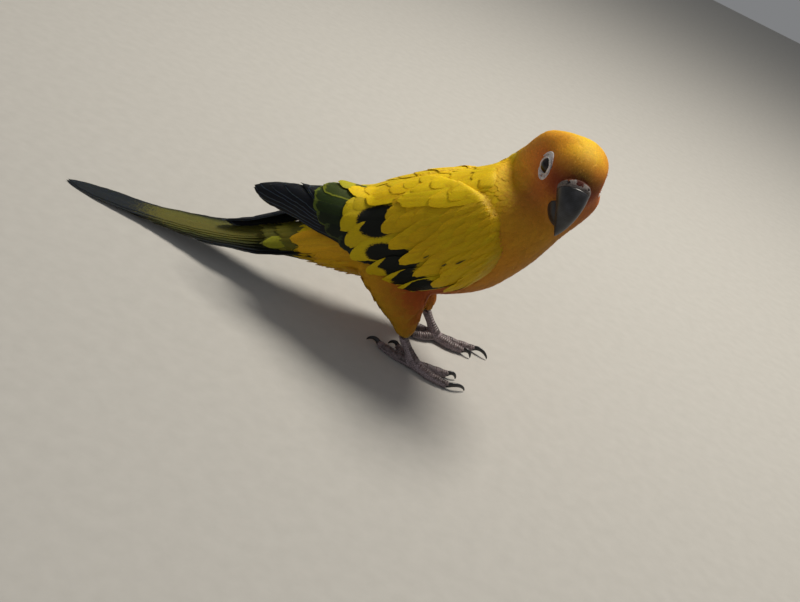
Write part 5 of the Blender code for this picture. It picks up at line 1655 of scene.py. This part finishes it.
tail_covert_piece = tail_coverts.finish(VANE_MATERIAL)

# %% [markdown]
# ## Eyes, lids and the bare ring
#
# The eyeball is set 4 mm deep in the head, and shows through lids about 6 mm across. The
# iris of an adult is so dark that it is nearly black, under a wet clear cornea. Round
# the lids lies a ring of bare, pale skin with fine wrinkles and pimples, a centimetre
# tall. It is a patch of rings that starts at the lids and dips under the feathers.

# %% Eyeballs
LID_OPENING = (3.1, 3.4)


def eye_material():
    """Wet cornea over a dark brown iris: near-black, with a sharp, strong highlight."""
    material, tree, shader = new_material("wet_cornea", 0.12, 1.38, Coat_Weight=0.3, Coat_Roughness=0.02, Coat_IOR=1.38)
    uv = node(tree, "ShaderNodeUVMap", uv_map="Disc")
    away = node(tree, "ShaderNodeVectorMath", {0: uv.outputs[0]}, operation="LENGTH")
    rays = node(tree, "ShaderNodeTexNoise", {"Vector": uv.outputs[0], "Scale": 6.0, "Detail": 3.0})
    torn = node(tree, "ShaderNodeMath", {0: rays.outputs[0], 1: 0.25, 2: away.outputs["Value"]}, operation="MULTIPLY_ADD")
    rings = node(tree, "ShaderNodeMapRange", {"Value": torn.outputs[0], "From Max": 4.0})
    ramp_node = node(tree, "ShaderNodeValToRGB", {"Fac": rings.outputs[0]})
    stops = ((0.0, "#050404"), (0.42, "#060405"), (0.46, "#180C06"), (0.66, "#1E1009"), (0.74, "#0A0605"))
    for i, (at, colour) in enumerate(stops):
        stop = ramp_node.color_ramp.elements[i] if i < 2 else ramp_node.color_ramp.elements.new(at)
        stop.position, stop.color = at, (*linear(colour), 1.0)
    tree.links.new(ramp_node.outputs["Color"], shader.inputs["Base Color"])
    return material


EYE_MATERIAL = eye_material()


def build_eye(name, side):
    axes, centre = eye_axes(side), eye_centre(side)
    polar, turn = np.meshgrid(np.linspace(0.03, math.pi - 0.03, 30), np.linspace(0, 2 * math.pi, 48, endpoint=False), indexing="ij")
    radius = EYE_RADIUS * (1.0 + 0.05 * np.exp(-((polar / 0.5) ** 2)))
    local = np.stack([radius * np.sin(polar) * np.cos(turn), radius * np.sin(polar) * np.sin(turn), radius * np.cos(polar)], -1)
    points, faces = tube(centre + local @ axes.T)
    obj = make_piece(name, points, outward(points, faces), EYE_MATERIAL)
    map_points(obj, "Disc", ((points - centre) @ axes)[:, :2])
    return obj


eyes = {side_name: build_eye("eyeball_" + side_name, side) for side_name, side in (("right", -1.0), ("left", 1.0))}


# %% Lids and bare ring
def bare_skin_material(name, pale, dark, pimple, depth):
    """Dry bare skin: matt, with round pimples of the given size in mm and deeper tone between."""
    material, tree, shader = new_material(name, 0.6, 1.4, Subsurface_Weight=0.08, Subsurface_Scale=0.0006)
    where = node(tree, "ShaderNodeTexCoord")
    cells = node(tree, "ShaderNodeTexVoronoi", {"Vector": where.outputs["Object"], "Scale": 1.0 / (pimple * MM)})
    folds = node(tree, "ShaderNodeTexNoise", {"Vector": where.outputs["Object"], "Scale": 1.0 / (pimple * 3 * MM), "Detail": 4.0})
    both = node(tree, "ShaderNodeMath", {0: cells.outputs["Distance"], 1: folds.outputs[0]}, operation="MULTIPLY")
    shade = node(tree, "ShaderNodeMapRange", {"Value": both.outputs[0], "From Max": 0.5})
    mix = node(tree, "ShaderNodeMix", {0: shade.outputs[0], 6: (*linear(pale), 1.0), 7: (*linear(dark), 1.0)}, data_type="RGBA")
    tree.links.new(mix.outputs[2], shader.inputs["Base Color"])
    bump = node(tree, "ShaderNodeBump", {"Height": both.outputs[0], "Strength": 0.8, "Distance": depth * MM}, invert=True)
    tree.links.new(bump.outputs[0], shader.inputs["Normal"])
    return material


RING_SKIN = bare_skin_material("bare_eye_ring_skin", "#E6E0DC", "#B4A9A4", 0.45, 0.09)
CERE_SKIN = bare_skin_material("cere_skin", "#7A706B", "#453E3B", 0.6, 0.08)


def build_lids(name, side, rng):
    """Two lids as one soft rim on the ball, a little flattened at the corners."""
    axes, centre = eye_axes(side), eye_centre(side)
    turn, round_ = np.meshgrid(np.linspace(0, 2 * math.pi, 72, endpoint=False), np.linspace(0, 2 * math.pi, 12, endpoint=False), indexing="ij")
    thick = 0.42 + 0.06 * np.cos(2 * turn) + 0.02 * np.sin(17 * turn)
    out = 1.0 + 0.02 * np.sin(5 * turn + 1.0)
    a, b = LID_OPENING[0] + 0.42, LID_OPENING[1] + 0.42
    rim = np.hypot(a * np.cos(turn), b * np.sin(turn)) * out
    height = np.sqrt(EYE_RADIUS**2 - np.minimum(rim, 4.0) ** 2) + 0.25
    across = np.stack([a * np.cos(turn) * out, b * np.sin(turn) * out, height], -1)
    way = unit(np.stack([b * np.cos(turn), a * np.sin(turn), 0 * turn], -1))
    local = across + thick[..., None] * (1.5 * np.cos(round_)[..., None] * way + np.sin(round_)[..., None] * np.array([0, 0, 1.0]))
    rows, columns = turn.shape
    points = (centre + local @ axes.T).reshape(-1, 3)
    faces = grid_faces(rows + 1, columns, True) % (rows * columns)
    return make_piece(name, points, outward(points, faces), RING_SKIN)


def build_ring(name, side, rng):
    """Bare ring: from the lids outward, then down under the feathers."""
    axes, centre = eye_axes(side), eye_centre(side)
    turn, share = np.meshgrid(np.linspace(0, 2 * math.pi, 96, endpoint=False), np.linspace(0, 1, 18), indexing="ij")
    a = 3.5 + (BARE_RING[side][0] + 0.9 - 3.5) * share
    b = 3.8 + (BARE_RING[side][1] + 0.9 - 3.8) * share
    flat = np.stack([a * np.cos(turn), b * np.sin(turn)], -1)
    start = centre + np.concatenate([flat, np.full((*flat.shape[:2], 1), 12.0)], -1) @ axes.T
    ground = np.empty(turn.shape)
    for i in np.ndindex(turn.shape):
        hit = SKIN_TREE.ray_cast(Vector(start[i]), Vector(-axes[:, 2]))[0]
        ground[i] = (np.array(hit) - centre) @ axes[:, 2]
    edge = 1.0 - ramp(share, 0.82, 1.0)
    height = (2.95 * (1 - ramp(share, 0.0, 0.55)) + (ground + RING_RISE[side]) * ramp(share, 0.0, 0.55)) * edge + (ground - 0.3) * (1 - edge)
    height += 0.07 * np.sin(31 * turn + 4 * np.sin(9 * share)) * np.sin(math.pi * share) + 0.08 * np.cos(22 * share)
    local = np.concatenate([flat, height[..., None]], -1)
    under = np.concatenate([flat, (height - 0.5)[..., None]], -1)
    rows, columns = turn.shape
    top = centre + local @ axes.T
    low = centre + under @ axes.T
    rings = np.concatenate([top, low[:, ::-1]], axis=1)
    points = rings.reshape(-1, 3)
    faces = grid_faces(rows + 1, 2 * columns, True) % (rows * 2 * columns)
    return make_piece(name, points, outward(points, faces), RING_SKIN)


lid_rng = np.random.default_rng(51)
eye_skin = []
for side_name, side in (("right", -1.0), ("left", 1.0)):
    eye_skin.append(build_lids("eyelids_" + side_name, side, lid_rng))
    eye_skin.append(build_ring("bare_ring_" + side_name, side, lid_rng))
print("eye pieces:", len(eye_skin) + len(eyes))

# %% [markdown]
# ## Bill and cere
#
# The bill is horn over bone: charcoal, satin, with faint growth bands along the upper
# half and a paler mottle that is partly painted sheen. The upper half is a hooked cap whose
# edge hangs over the lower one. Its root is set in the cere, bare skin that swells round
# each nostril, with forehead feathers between.

# %% Horn
def horn_material(name, dark, pale, roughness):
    """Horn with growth bands about 0.8 mm apart and fine scratches along it."""
    material, tree, shader = new_material(name, roughness, 1.54, Coat_Weight=0.12, Coat_Roughness=0.3)
    uv = node(tree, "ShaderNodeUVMap", uv_map="Horn")
    parts = node(tree, "ShaderNodeSeparateXYZ", {0: uv.outputs[0]})
    where = node(tree, "ShaderNodeTexCoord")
    cloud = node(tree, "ShaderNodeTexNoise", {"Vector": where.outputs["Object"], "Scale": 260.0, "Detail": 4.0})
    wobble = node(tree, "ShaderNodeMath", {0: cloud.outputs[0], 1: 1.2, 2: parts.outputs["Y"]}, operation="MULTIPLY_ADD")
    bands = node(tree, "ShaderNodeMath", {0: wobble.outputs[0], 1: 2 * math.pi / 0.8}, operation="MULTIPLY")
    wave = node(tree, "ShaderNodeMath", {0: bands.outputs[0]}, operation="SINE")
    squeezed = node(tree, "ShaderNodeVectorMath", {0: uv.outputs[0], 1: (3.0, 0.25, 1.0)}, operation="MULTIPLY")
    scratch = node(tree, "ShaderNodeTexNoise", {"Vector": squeezed.outputs[0], "Scale": 2.2, "Detail": 5.0})
    tone = node(tree, "ShaderNodeMath", {0: wave.outputs[0], 1: 0.06, 2: cloud.outputs[0]}, operation="MULTIPLY_ADD")
    shade = node(tree, "ShaderNodeMapRange", {"Value": tone.outputs[0], "From Min": 0.38, "From Max": 0.78})
    # The pale colour, mixed in by a random mottle and the bands, is partly painted sheen.
    mix = node(tree, "ShaderNodeMix", {0: shade.outputs[0], 6: (*linear(dark), 1.0), 7: (*linear(pale), 1.0)}, data_type="RGBA")
    tree.links.new(mix.outputs[2], shader.inputs["Base Color"])
    rough = node(tree, "ShaderNodeMapRange", {"Value": scratch.outputs[0], "From Min": 0.3, "From Max": 0.7, "To Min": roughness - 0.08, "To Max": roughness + 0.14})
    tree.links.new(rough.outputs[0], shader.inputs["Roughness"])
    relief = node(tree, "ShaderNodeMath", {0: scratch.outputs[0], 1: 0.8, 2: wave.outputs[0]}, operation="MULTIPLY_ADD")
    bump = node(tree, "ShaderNodeBump", {"Height": relief.outputs[0], "Strength": 0.10, "Distance": 0.00005})
    tree.links.new(bump.outputs[0], shader.inputs["Normal"])
    return material


BILL_HORN = horn_material("bill_horn", "#131315", "#323338", 0.40)
CLAW_HORN = horn_material("claw_horn", "#0E0E10", "#2B2A2C", 0.34)
EDGE_TURN = math.radians(112.0)


def upper_shape(t, angle):
    """Section of the upper half: a ridge, flat sides, and an edge that folds inward."""
    c, s = np.cos(angle), np.sin(angle)
    turn = np.abs((angle + math.pi) % (2 * math.pi) - math.pi)
    fold = ramp(turn, EDGE_TURN, EDGE_TURN + 0.25)
    wide = np.sign(s) * np.abs(s) ** 0.88 * (1.0 - 0.30 * fold)
    ridge = 0.03 * np.exp(-((turn / 0.22) ** 2))
    return c + ridge, wide


def build_upper_bill():
    shares = np.concatenate([np.linspace(CERE_END + CERE_GAP_SHARE, 0.9, 60), np.linspace(0.91, 1.0, 12)])
    rings = []
    for t in shares:
        notch = 0.45 * math.exp(-(((t - 0.62) / 0.05) ** 2))
        def swell(t_, angle, notch=notch):
            turn = np.abs((angle + math.pi) % (2 * math.pi) - math.pi)
            edge = np.exp(-(((turn - EDGE_TURN + 0.06) / 0.16) ** 2))
            return edge * (0.32 - notch) * (1 - t_)
        rings.append(bill_ring(t, swell, 80, upper_shape))
    points, faces = tube(rings)
    obj = make_piece("upper_bill", points, outward(points, faces), BILL_HORN)
    along = np.concatenate([np.repeat(shares * CULMEN_LENGTH, 80), (shares[0] * CULMEN_LENGTH, CULMEN_LENGTH)])
    round_ = np.concatenate([np.tile(np.linspace(-12, 12, 80), len(shares)), (0.0, 0.0)])
    map_points(obj, "Horn", np.stack([round_, along], 1))
    return obj


def build_lower_bill():
    stations = np.linspace(0, 3, 30)
    rings = [lower_ring(u, 0.0, 60) for u in stations]
    points, faces = tube(rings)
    obj = make_piece("lower_bill", points, outward(points, faces), BILL_HORN)
    along = np.concatenate([np.repeat(stations * 5.0, 60), (0.0, 15.0)])
    round_ = np.concatenate([np.tile(np.linspace(-12, 12, 60), len(stations)), (0.0, 0.0)])
    map_points(obj, "Horn", np.stack([round_, along], 1))
    return obj


upper_bill, lower_bill = build_upper_bill(), build_lower_bill()

# %% Cere with nostrils
NOSTRIL_TURN, NOSTRIL_SHARE = math.radians(38.0), 0.078


def nostril_distance(t, angle):
    """Distance in mm from the nearer nostril over the cere."""
    turn = np.abs((angle + math.pi) % (2 * math.pi) - math.pi)
    return np.hypot((turn - NOSTRIL_TURN) * 7.2, (t - NOSTRIL_SHARE) * CULMEN_LENGTH)


def cere_swell(t, angle):
    away = nostril_distance(t, angle)
    ends = ramp(t, CERE_START - 0.01, CERE_START + 0.03) * (1.0 - ramp(t, CERE_END - 0.035, CERE_END + 0.006))
    puff = 0.35 + 0.55 * np.exp(-((away / 2.1) ** 2))
    hole = 1.5 * (1.0 - ramp(away, 0.35, 0.75))
    return (puff - 0.15) * ends + 0.05 - hole * ends


cere_shares = np.linspace(CERE_START, CERE_END, 40)
cere_points, cere_faces = tube([bill_ring(t, cere_swell, 192) for t in cere_shares])
cere = make_piece("cere_skin", cere_points, outward(cere_points, cere_faces), CERE_SKIN)

# %% Small feathers between the nostrils
def face_feathers():
    """Feathers that come down over the middle of the cere and its upper edge."""
    rng = np.random.default_rng(61)
    roots, normals, lies = [], [], []
    cere_tree, points, faces, face_normals = surface_tree(cere)
    for _ in range(1500):
        t = rng.uniform(0.0, CERE_END - 0.012)
        angle = rng.uniform(-2.4, 2.4)
        if abs(angle) > 0.12 + 0.12 * rng.random() and t > 0.05 + 0.012 * math.sin(7 * angle) + rng.normal(0, 0.008):
            continue
        ring = bill_ring(t, cere_swell, 192)
        back = bill_ring(t - 0.02, cere_swell, 192)
        k = int(round(angle / (2 * math.pi) * 192)) % 192
        roots.append(ring[k])
        lies.append(unit(back[k] - ring[k]))
    roots, lies = np.array(roots), np.array(lies)
    both_points = np.concatenate([SKIN_POINTS, points])
    both_faces = np.concatenate([SKIN_FACES, faces + len(SKIN_POINTS)])
    both_normals = np.concatenate([SKIN_FACE_NORMALS, face_normals])
    tree = BVHTree.FromPolygons([Vector(p) for p in both_points], both_faces.tolist())
    spots, normals = cling(roots, tree, both_normals)
    return coat_piece("coat_nostril_bridge", spots, normals, HEAD_STEPS, unwrap_head, rng, tree=tree, face_normals=both_normals, lies=lies)


bridge = face_feathers()

# %% [markdown]
# ## Feet
#
# A parrot's foot has two toes forward and two back, on a short stout shank. Its dry
# grey-pink skin carries scutes, broad overlapping plates along the top of each toe and
# down the front of the shank, and small round scales elsewhere. The flesh is lofted
# and joined by a fine remesh. The scutes follow each toe's line by Geometry Nodes.

# %% Foot flesh
TARSUS_TOP = (-25.4, 19.5, 14.2)
FOOT_CENTRE = {"right": (-14.5, -19.4, 3.6), "left": (-8.8, 17.6, 3.6)}
TARSUS_RADII = (2.4, 2.1, 2.9)
TOE_RADII = (2.7, 2.4, 2.0)
TOES = {
    "right": {
        "outer_front": ((-3.5, -22.1), (4.8, -22.0), (14.6, -17.4)),
        "inner_front": ((-5.0, -15.5), (3.0, -12.6), (8.6, -10.6)),
        "outer_hind": ((-25.5, -17.6), (-34.0, -14.6), (-41.0, -13.4)),
        "inner_hind": ((-19.5, -13.6), (-24.5, -9.6), (-30.0, -7.6)),
    },
    "left": {
        "outer_front": ((3.2, 20.9), (13.0, 24.6), (22.6, 23.4)),
        "inner_front": ((1.0, 16.2), (7.8, 17.4), (13.4, 16.6)),
        "outer_hind": ((-19.0, 18.6), (-28.0, 20.2), (-35.0, 20.4)),
        "inner_hind": ((-14.5, 12.6), (-20.0, 9.8), (-25.5, 9.2)),
    },
}


def path_rings(centres, highs, wides, points=24, first_way=None):
    """Rings square to a path, flattened where they would pass the floor."""
    centres = np.asarray(centres, dtype=float)
    rings = []
    turn = 2 * math.pi * (np.arange(points) + 0.5) / points
    for i, centre in enumerate(centres):
        ahead, behind = centres[min(i + 1, len(centres) - 1)], centres[max(i - 1, 0)]
        way = unit(ahead - behind) if i > 0 or first_way is None else first_way
        side = np.cross((0.0, 0.0, 1.0), way)
        side = unit(side) if np.linalg.norm(side) > 0.01 else np.array([0.0, 1.0, 0.0])
        top = np.cross(way, side)
        ring = centre + highs[i] * np.cos(turn)[:, None] * top - wides[i] * np.sin(turn)[:, None] * side
        ring[:, 2] = np.maximum(ring[:, 2], 0.0)
        rings.append(ring)
    return np.array(rings)


def toe_line(foot, way, count=22):
    """Fine path of a toe, from the middle of the foot to its end."""
    middle, end = (np.array(p) for p in way[:2])
    start = np.array(foot[:2])
    flat = [start, start + (middle - start) * 0.5, middle, (middle + end) / 2, end]
    heights = (3.0, 2.5, 2.2, 2.1, 1.9)
    return between([(*p, h) for p, h in zip(flat, heights)], np.linspace(0, 4, count))


def toe_radii(count=22):
    """Radii along a toe, fuller at its joints, where the pads are."""
    t = np.linspace(0, 4, count)
    plain_radius = np.interp(t, range(5), (2.7, 2.7, 2.4, 2.28, 2.0))
    return plain_radius * (0.95 + 0.05 * np.cos(2 * math.pi * (t - 0.3) / 1.25))


def shank_line(side_name, count=16):
    top, bottom = leg_point(side_name, *TARSUS_TOP), np.array(FOOT_CENTRE[side_name])
    knots = [top, top + (bottom - top) * 0.45, top + (bottom - top) * 0.85, bottom + np.array([2.0, 0, -0.6])]
    return between(knots, np.linspace(0, 3, count))


def leg_skin_material():
    """Dry reticulate skin: grey-pink, matt, with small round scales of about 0.7 mm."""
    material, tree, shader = new_material("scaly_leg_skin", 0.62, 1.45)
    where = node(tree, "ShaderNodeTexCoord")
    cells = node(tree, "ShaderNodeTexVoronoi", {"Vector": where.outputs["Object"], "Scale": 1400.0}, feature="DISTANCE_TO_EDGE")
    tone = node(tree, "ShaderNodeTexNoise", {"Vector": where.outputs["Object"], "Scale": 330.0, "Detail": 4.0})
    groove = node(tree, "ShaderNodeMapRange", {"Value": cells.outputs["Distance"], "From Max": 0.16})
    pale = node(tree, "ShaderNodeMix", {0: tone.outputs[0], 6: (*linear("#7E6E70"), 1.0), 7: (*linear("#AC9EA2"), 1.0)}, data_type="RGBA")
    mix = node(tree, "ShaderNodeMix", {0: groove.outputs[0], 6: (*linear("#443C3E"), 1.0), 7: pale.outputs[2]}, data_type="RGBA")
    tree.links.new(mix.outputs[2], shader.inputs["Base Color"])
    bump = node(tree, "ShaderNodeBump", {"Height": groove.outputs[0], "Strength": 0.7, "Distance": 0.0001})
    tree.links.new(bump.outputs[0], shader.inputs["Normal"])
    return material


LEG_SKIN = leg_skin_material()


def build_foot(side_name):
    shank = shank_line(side_name)
    radii = np.interp(np.linspace(0, 3, len(shank)), range(4), (TARSUS_RADII[0], TARSUS_RADII[1], TARSUS_RADII[2], 2.6))
    parts = [tube(path_rings(shank, radii, radii, 24, np.array([0.0, 0.0, -1.0])))]
    for way in TOES[side_name].values():
        line, size = toe_line(FOOT_CENTRE[side_name], way), toe_radii()
        parts.append(tube(path_rings(line, size, size)))
    points, faces, count = [], [], 0
    for some_points, some_faces in parts:
        points.append(some_points)
        faces.append(outward(some_points, some_faces) + count)
        count += len(some_points)
    obj = make_piece("foot_flesh_" + side_name, np.concatenate(points), np.concatenate(faces), LEG_SKIN)
    remesh = obj.modifiers.new("one_surface", "REMESH")
    remesh.mode, remesh.voxel_size, remesh.use_smooth_shade = "VOXEL", 0.42 * MM, True
    smooth = obj.modifiers.new("calm", "SMOOTH")
    smooth.factor, smooth.iterations = 0.5, 5
    finish_modifiers(obj)
    return obj


feet = {side_name: build_foot(side_name) for side_name in ("right", "left")}
print("foot faces:", {name: len(obj.data.polygons) for name, obj in feet.items()})


# %% Scutes along toes and shank, by Geometry Nodes
def scute_material():
    """Scutes: harder, smoother keratin plates, dark grey with a paler mottle."""
    material, tree, shader = new_material("scute_keratin", 0.42, 1.52)
    where = node(tree, "ShaderNodeTexCoord")
    tone = node(tree, "ShaderNodeTexNoise", {"Vector": where.outputs["Object"], "Scale": 420.0, "Detail": 5.0})
    shade = node(tree, "ShaderNodeMapRange", {"Value": tone.outputs[0], "From Min": 0.35, "From Max": 0.65})
    mix = node(tree, "ShaderNodeMix", {0: shade.outputs[0], 6: (*linear("#3C3433"), 1.0), 7: (*linear("#77696A"), 1.0)}, data_type="RGBA")
    tree.links.new(mix.outputs[2], shader.inputs["Base Color"])
    bump = node(tree, "ShaderNodeBump", {"Height": tone.outputs[0], "Strength": 0.3, "Distance": 0.0001})
    tree.links.new(bump.outputs[0], shader.inputs["Normal"])
    return material


SCUTES = scute_material()


def scute_tree():
    """Node tree that lays curved plates along lines, sized by each point's radius."""
    tree = bpy.data.node_groups.new("scutes_along_a_toe", "GeometryNodeTree")
    tree.interface.new_socket("Geometry", in_out="INPUT", socket_type="NodeSocketGeometry")
    for name in ("Spacing", "Plate length", "Plate thickness", "Sweep"):
        tree.interface.new_socket(name, in_out="INPUT", socket_type="NodeSocketFloat")
    tree.interface.new_socket("Geometry", in_out="OUTPUT", socket_type="NodeSocketGeometry")
    given, result = tree.nodes.new("NodeGroupInput"), tree.nodes.new("NodeGroupOutput")
    line = node(tree, "GeometryNodeMeshToCurve", {0: given.outputs["Geometry"]})
    steps = node(tree, "GeometryNodeResampleCurve", {"Curve": line.outputs[0], "Length": given.outputs["Spacing"]}, mode="LENGTH")
    arc = node(tree, "GeometryNodeCurveArc", {"Resolution": 9, "Radius": 1.0, "Sweep Angle": given.outputs["Sweep"]})
    profile = node(tree, "GeometryNodeCurvePrimitiveQuadrilateral", {0: given.outputs["Plate thickness"], 1: given.outputs["Plate length"]})
    plate = node(tree, "GeometryNodeCurveToMesh", {"Curve": arc.outputs[0], "Profile Curve": profile.outputs[0], "Fill Caps": True})
    radius = node(tree, "GeometryNodeInputNamedAttribute", {"Name": "toe_radius"}, data_type="FLOAT")
    way = node(tree, "GeometryNodeInputNamedAttribute", {"Name": "toe_way"}, data_type="FLOAT_VECTOR")
    over = node(tree, "GeometryNodeInputNamedAttribute", {"Name": "toe_top"}, data_type="FLOAT_VECTOR")
    turn = node(tree, "FunctionNodeAxesToRotation", {0: way.outputs[0], 1: over.outputs[0]}, primary_axis="Z", secondary_axis="Y")
    laid = node(tree, "GeometryNodeInstanceOnPoints", {
        "Points": steps.outputs[0], "Instance": plate.outputs[0], "Rotation": turn.outputs[0], "Scale": radius.outputs[0],
    })
    solid = node(tree, "GeometryNodeRealizeInstances", {0: laid.outputs[0]})
    dressed = node(tree, "GeometryNodeSetMaterial", {0: solid.outputs[0], "Material": SCUTES})
    tree.links.new(dressed.outputs[0], result.inputs[0])
    return tree


SCUTE_TREE = scute_tree()
SWEEP = 150.0


def scute_line(name, centres, radii, tops):
    """Line whose points carry the radius, way and top that the node tree reads."""
    mesh = bpy.data.meshes.new(name)
    edges = [(i, i + 1) for i in range(len(centres) - 1)]
    mesh.from_pydata((np.asarray(centres) * MM + SHIFT).tolist(), edges, [])
    obj = bpy.data.objects.new(name, mesh)
    bpy.context.scene.collection.objects.link(obj)
    ways = unit(np.gradient(centres, axis=0))
    layer = mesh.attributes.new("toe_radius", "FLOAT", "POINT")
    layer.data.foreach_set("value", (np.asarray(radii) * MM).astype(np.float32))
    for attribute, vectors in (("toe_way", ways), ("toe_top", tops)):
        layer = mesh.attributes.new(attribute, "FLOAT_VECTOR", "POINT")
        layer.data.foreach_set("vector", np.asarray(vectors, dtype=np.float32).ravel())
    return obj


def add_scutes(name, centres, radii, tops, spacing, length):
    obj = scute_line(name, centres, radii, tops)
    modifier = obj.modifiers.new("scutes", "NODES")
    modifier.node_group = SCUTE_TREE
    for item in SCUTE_TREE.interface.items_tree:
        if item.in_out == "INPUT" and item.name in ("Spacing", "Plate length", "Plate thickness", "Sweep"):
            value = {"Spacing": spacing * MM, "Plate length": length, "Plate thickness": 0.10, "Sweep": math.radians(SWEEP)}
            modifier[item.identifier] = value[item.name]
    finish_modifiers(obj)
    return obj


def turned_tops(centres, base):
    """Directions square to a line and nearest to a base direction."""
    ways = unit(np.gradient(centres, axis=0))
    tops = base - ways * (ways @ base)[:, None]
    tops = unit(tops)
    sides = np.cross(tops, ways)
    half = math.radians(SWEEP / 2)
    return tops * math.cos(math.pi / 2 - half) * 0 + unit(sides * -math.cos(half) * 0 + tops)


scute_pieces = {"right": [], "left": []}
for side_name in ("right", "left"):
    for toe_name, way in TOES[side_name].items():
        line, size = toe_line(FOOT_CENTRE[side_name], way, 40), toe_radii(40)
        tops = turned_tops(line, np.array((0.0, 0.0, 1.0)))
        keep_from = 7
        scute_pieces[side_name].append(add_scutes(
            "scutes_%s_%s" % (side_name, toe_name), line[keep_from:], size[keep_from:] * 0.99, tops[keep_from:], 1.15, 0.62,
        ))
    shank = shank_line(side_name, 30)
    radii = np.interp(np.linspace(0, 3, 30), range(4), (TARSUS_RADII[0], TARSUS_RADII[1], TARSUS_RADII[2], 2.6))
    tops = turned_tops(shank, np.array((1.0, 0.0, 0.35)))
    scute_pieces[side_name].append(add_scutes("scutes_%s_shank" % side_name, shank[:24], radii[:24] * 0.99, tops[:24], 1.3, 0.62))


# %% [markdown]
# ## Claws
#
# Each claw is a strongly curved black cone, deeper than wide, with the same banded horn
# as the bill. It grows from the end of its toe, arches and ends near the floor.

# %% Claws
def build_claws(side_name):
    points, faces, maps, count = [], [], [], 0
    for toe_name, way in TOES[side_name].items():
        line = toe_line(FOOT_CENTRE[side_name], way)
        end, start_way = line[-1], unit(line[-1] - line[-2])
        tip = np.array([way[2][0], way[2][1], 0.45])
        t = np.linspace(0.0, 1.0, 22)
        s = t[:, None]
        ahead = np.linalg.norm((tip - end)[:2])
        knots = (end + start_way * 0.1, end + start_way * 0.38 * ahead + (0, 0, 3.0), tip - start_way * 0.10 * ahead + (0, 0, 2.9), tip)
        curve = (1 - s) ** 3 * knots[0] + 3 * s * (1 - s) ** 2 * knots[1] + 3 * s**2 * (1 - s) * knots[2] + s**3 * knots[3]
        high = 1.4 * (1 - t) ** 0.6 + 0.09
        points_here, faces_here = tube(path_rings(curve, high, high * 0.72, 20, start_way))
        points.append(points_here)
        faces.append(outward(points_here, faces_here) + count)
        along = np.concatenate([np.repeat(t * 9.0, 20), (0.0, 9.0)])
        round_ = np.concatenate([np.tile(np.linspace(-3, 3, 20), len(t)), (0.0, 0.0)])
        maps.append(np.stack([round_, along], 1))
        count += len(points_here)
    obj = make_piece("claws_" + side_name, np.concatenate(points), np.concatenate(faces), CLAW_HORN)
    map_points(obj, "Horn", np.concatenate(maps))
    return obj


claws = {side_name: build_claws(side_name) for side_name in ("right", "left")}

# %% [markdown]
# ## Hand over to the frame
#
# Every piece rides on the bird's one body, and the solids that it stands for are hidden.

# %% Ride and replace
def hand_over(piece, slot, *nodes):
    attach(piece, "root")
    if nodes:
        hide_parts(*nodes)


hand_over(skin, "body_feathers", "torso", "neck", "head", "thigh_right", "thigh_left")
for piece in (*coat.values(), bridge):
    hand_over(piece, "body_feathers")
for side_name in ("right", "left"):
    for piece in wing_pieces[side_name]:
        hand_over(piece, "wing_feathers", "wing_" + side_name)
    hand_over(eyes[side_name], "eye", "eye_" + side_name)
    hand_over(feet[side_name], "leg_skin", "foot_" + side_name)
    for piece in scute_pieces[side_name]:
        hand_over(piece, "leg_skin")
    hand_over(claws[side_name], "claw", *("claw_%s_%s" % (side_name, toe_name) for toe_name in TOES[side_name]))
hand_over(mantle_piece, "body_feathers")
hand_over(tail_piece, "tail_feathers", "tail")
hand_over(tail_covert_piece, "tail_feathers")
for piece in eye_skin:
    hand_over(piece, "bare_skin")
hand_over(upper_bill, "bill", "bill_upper")
hand_over(lower_bill, "bill", "bill_lower")
hand_over(cere, "bare_skin", "cere")
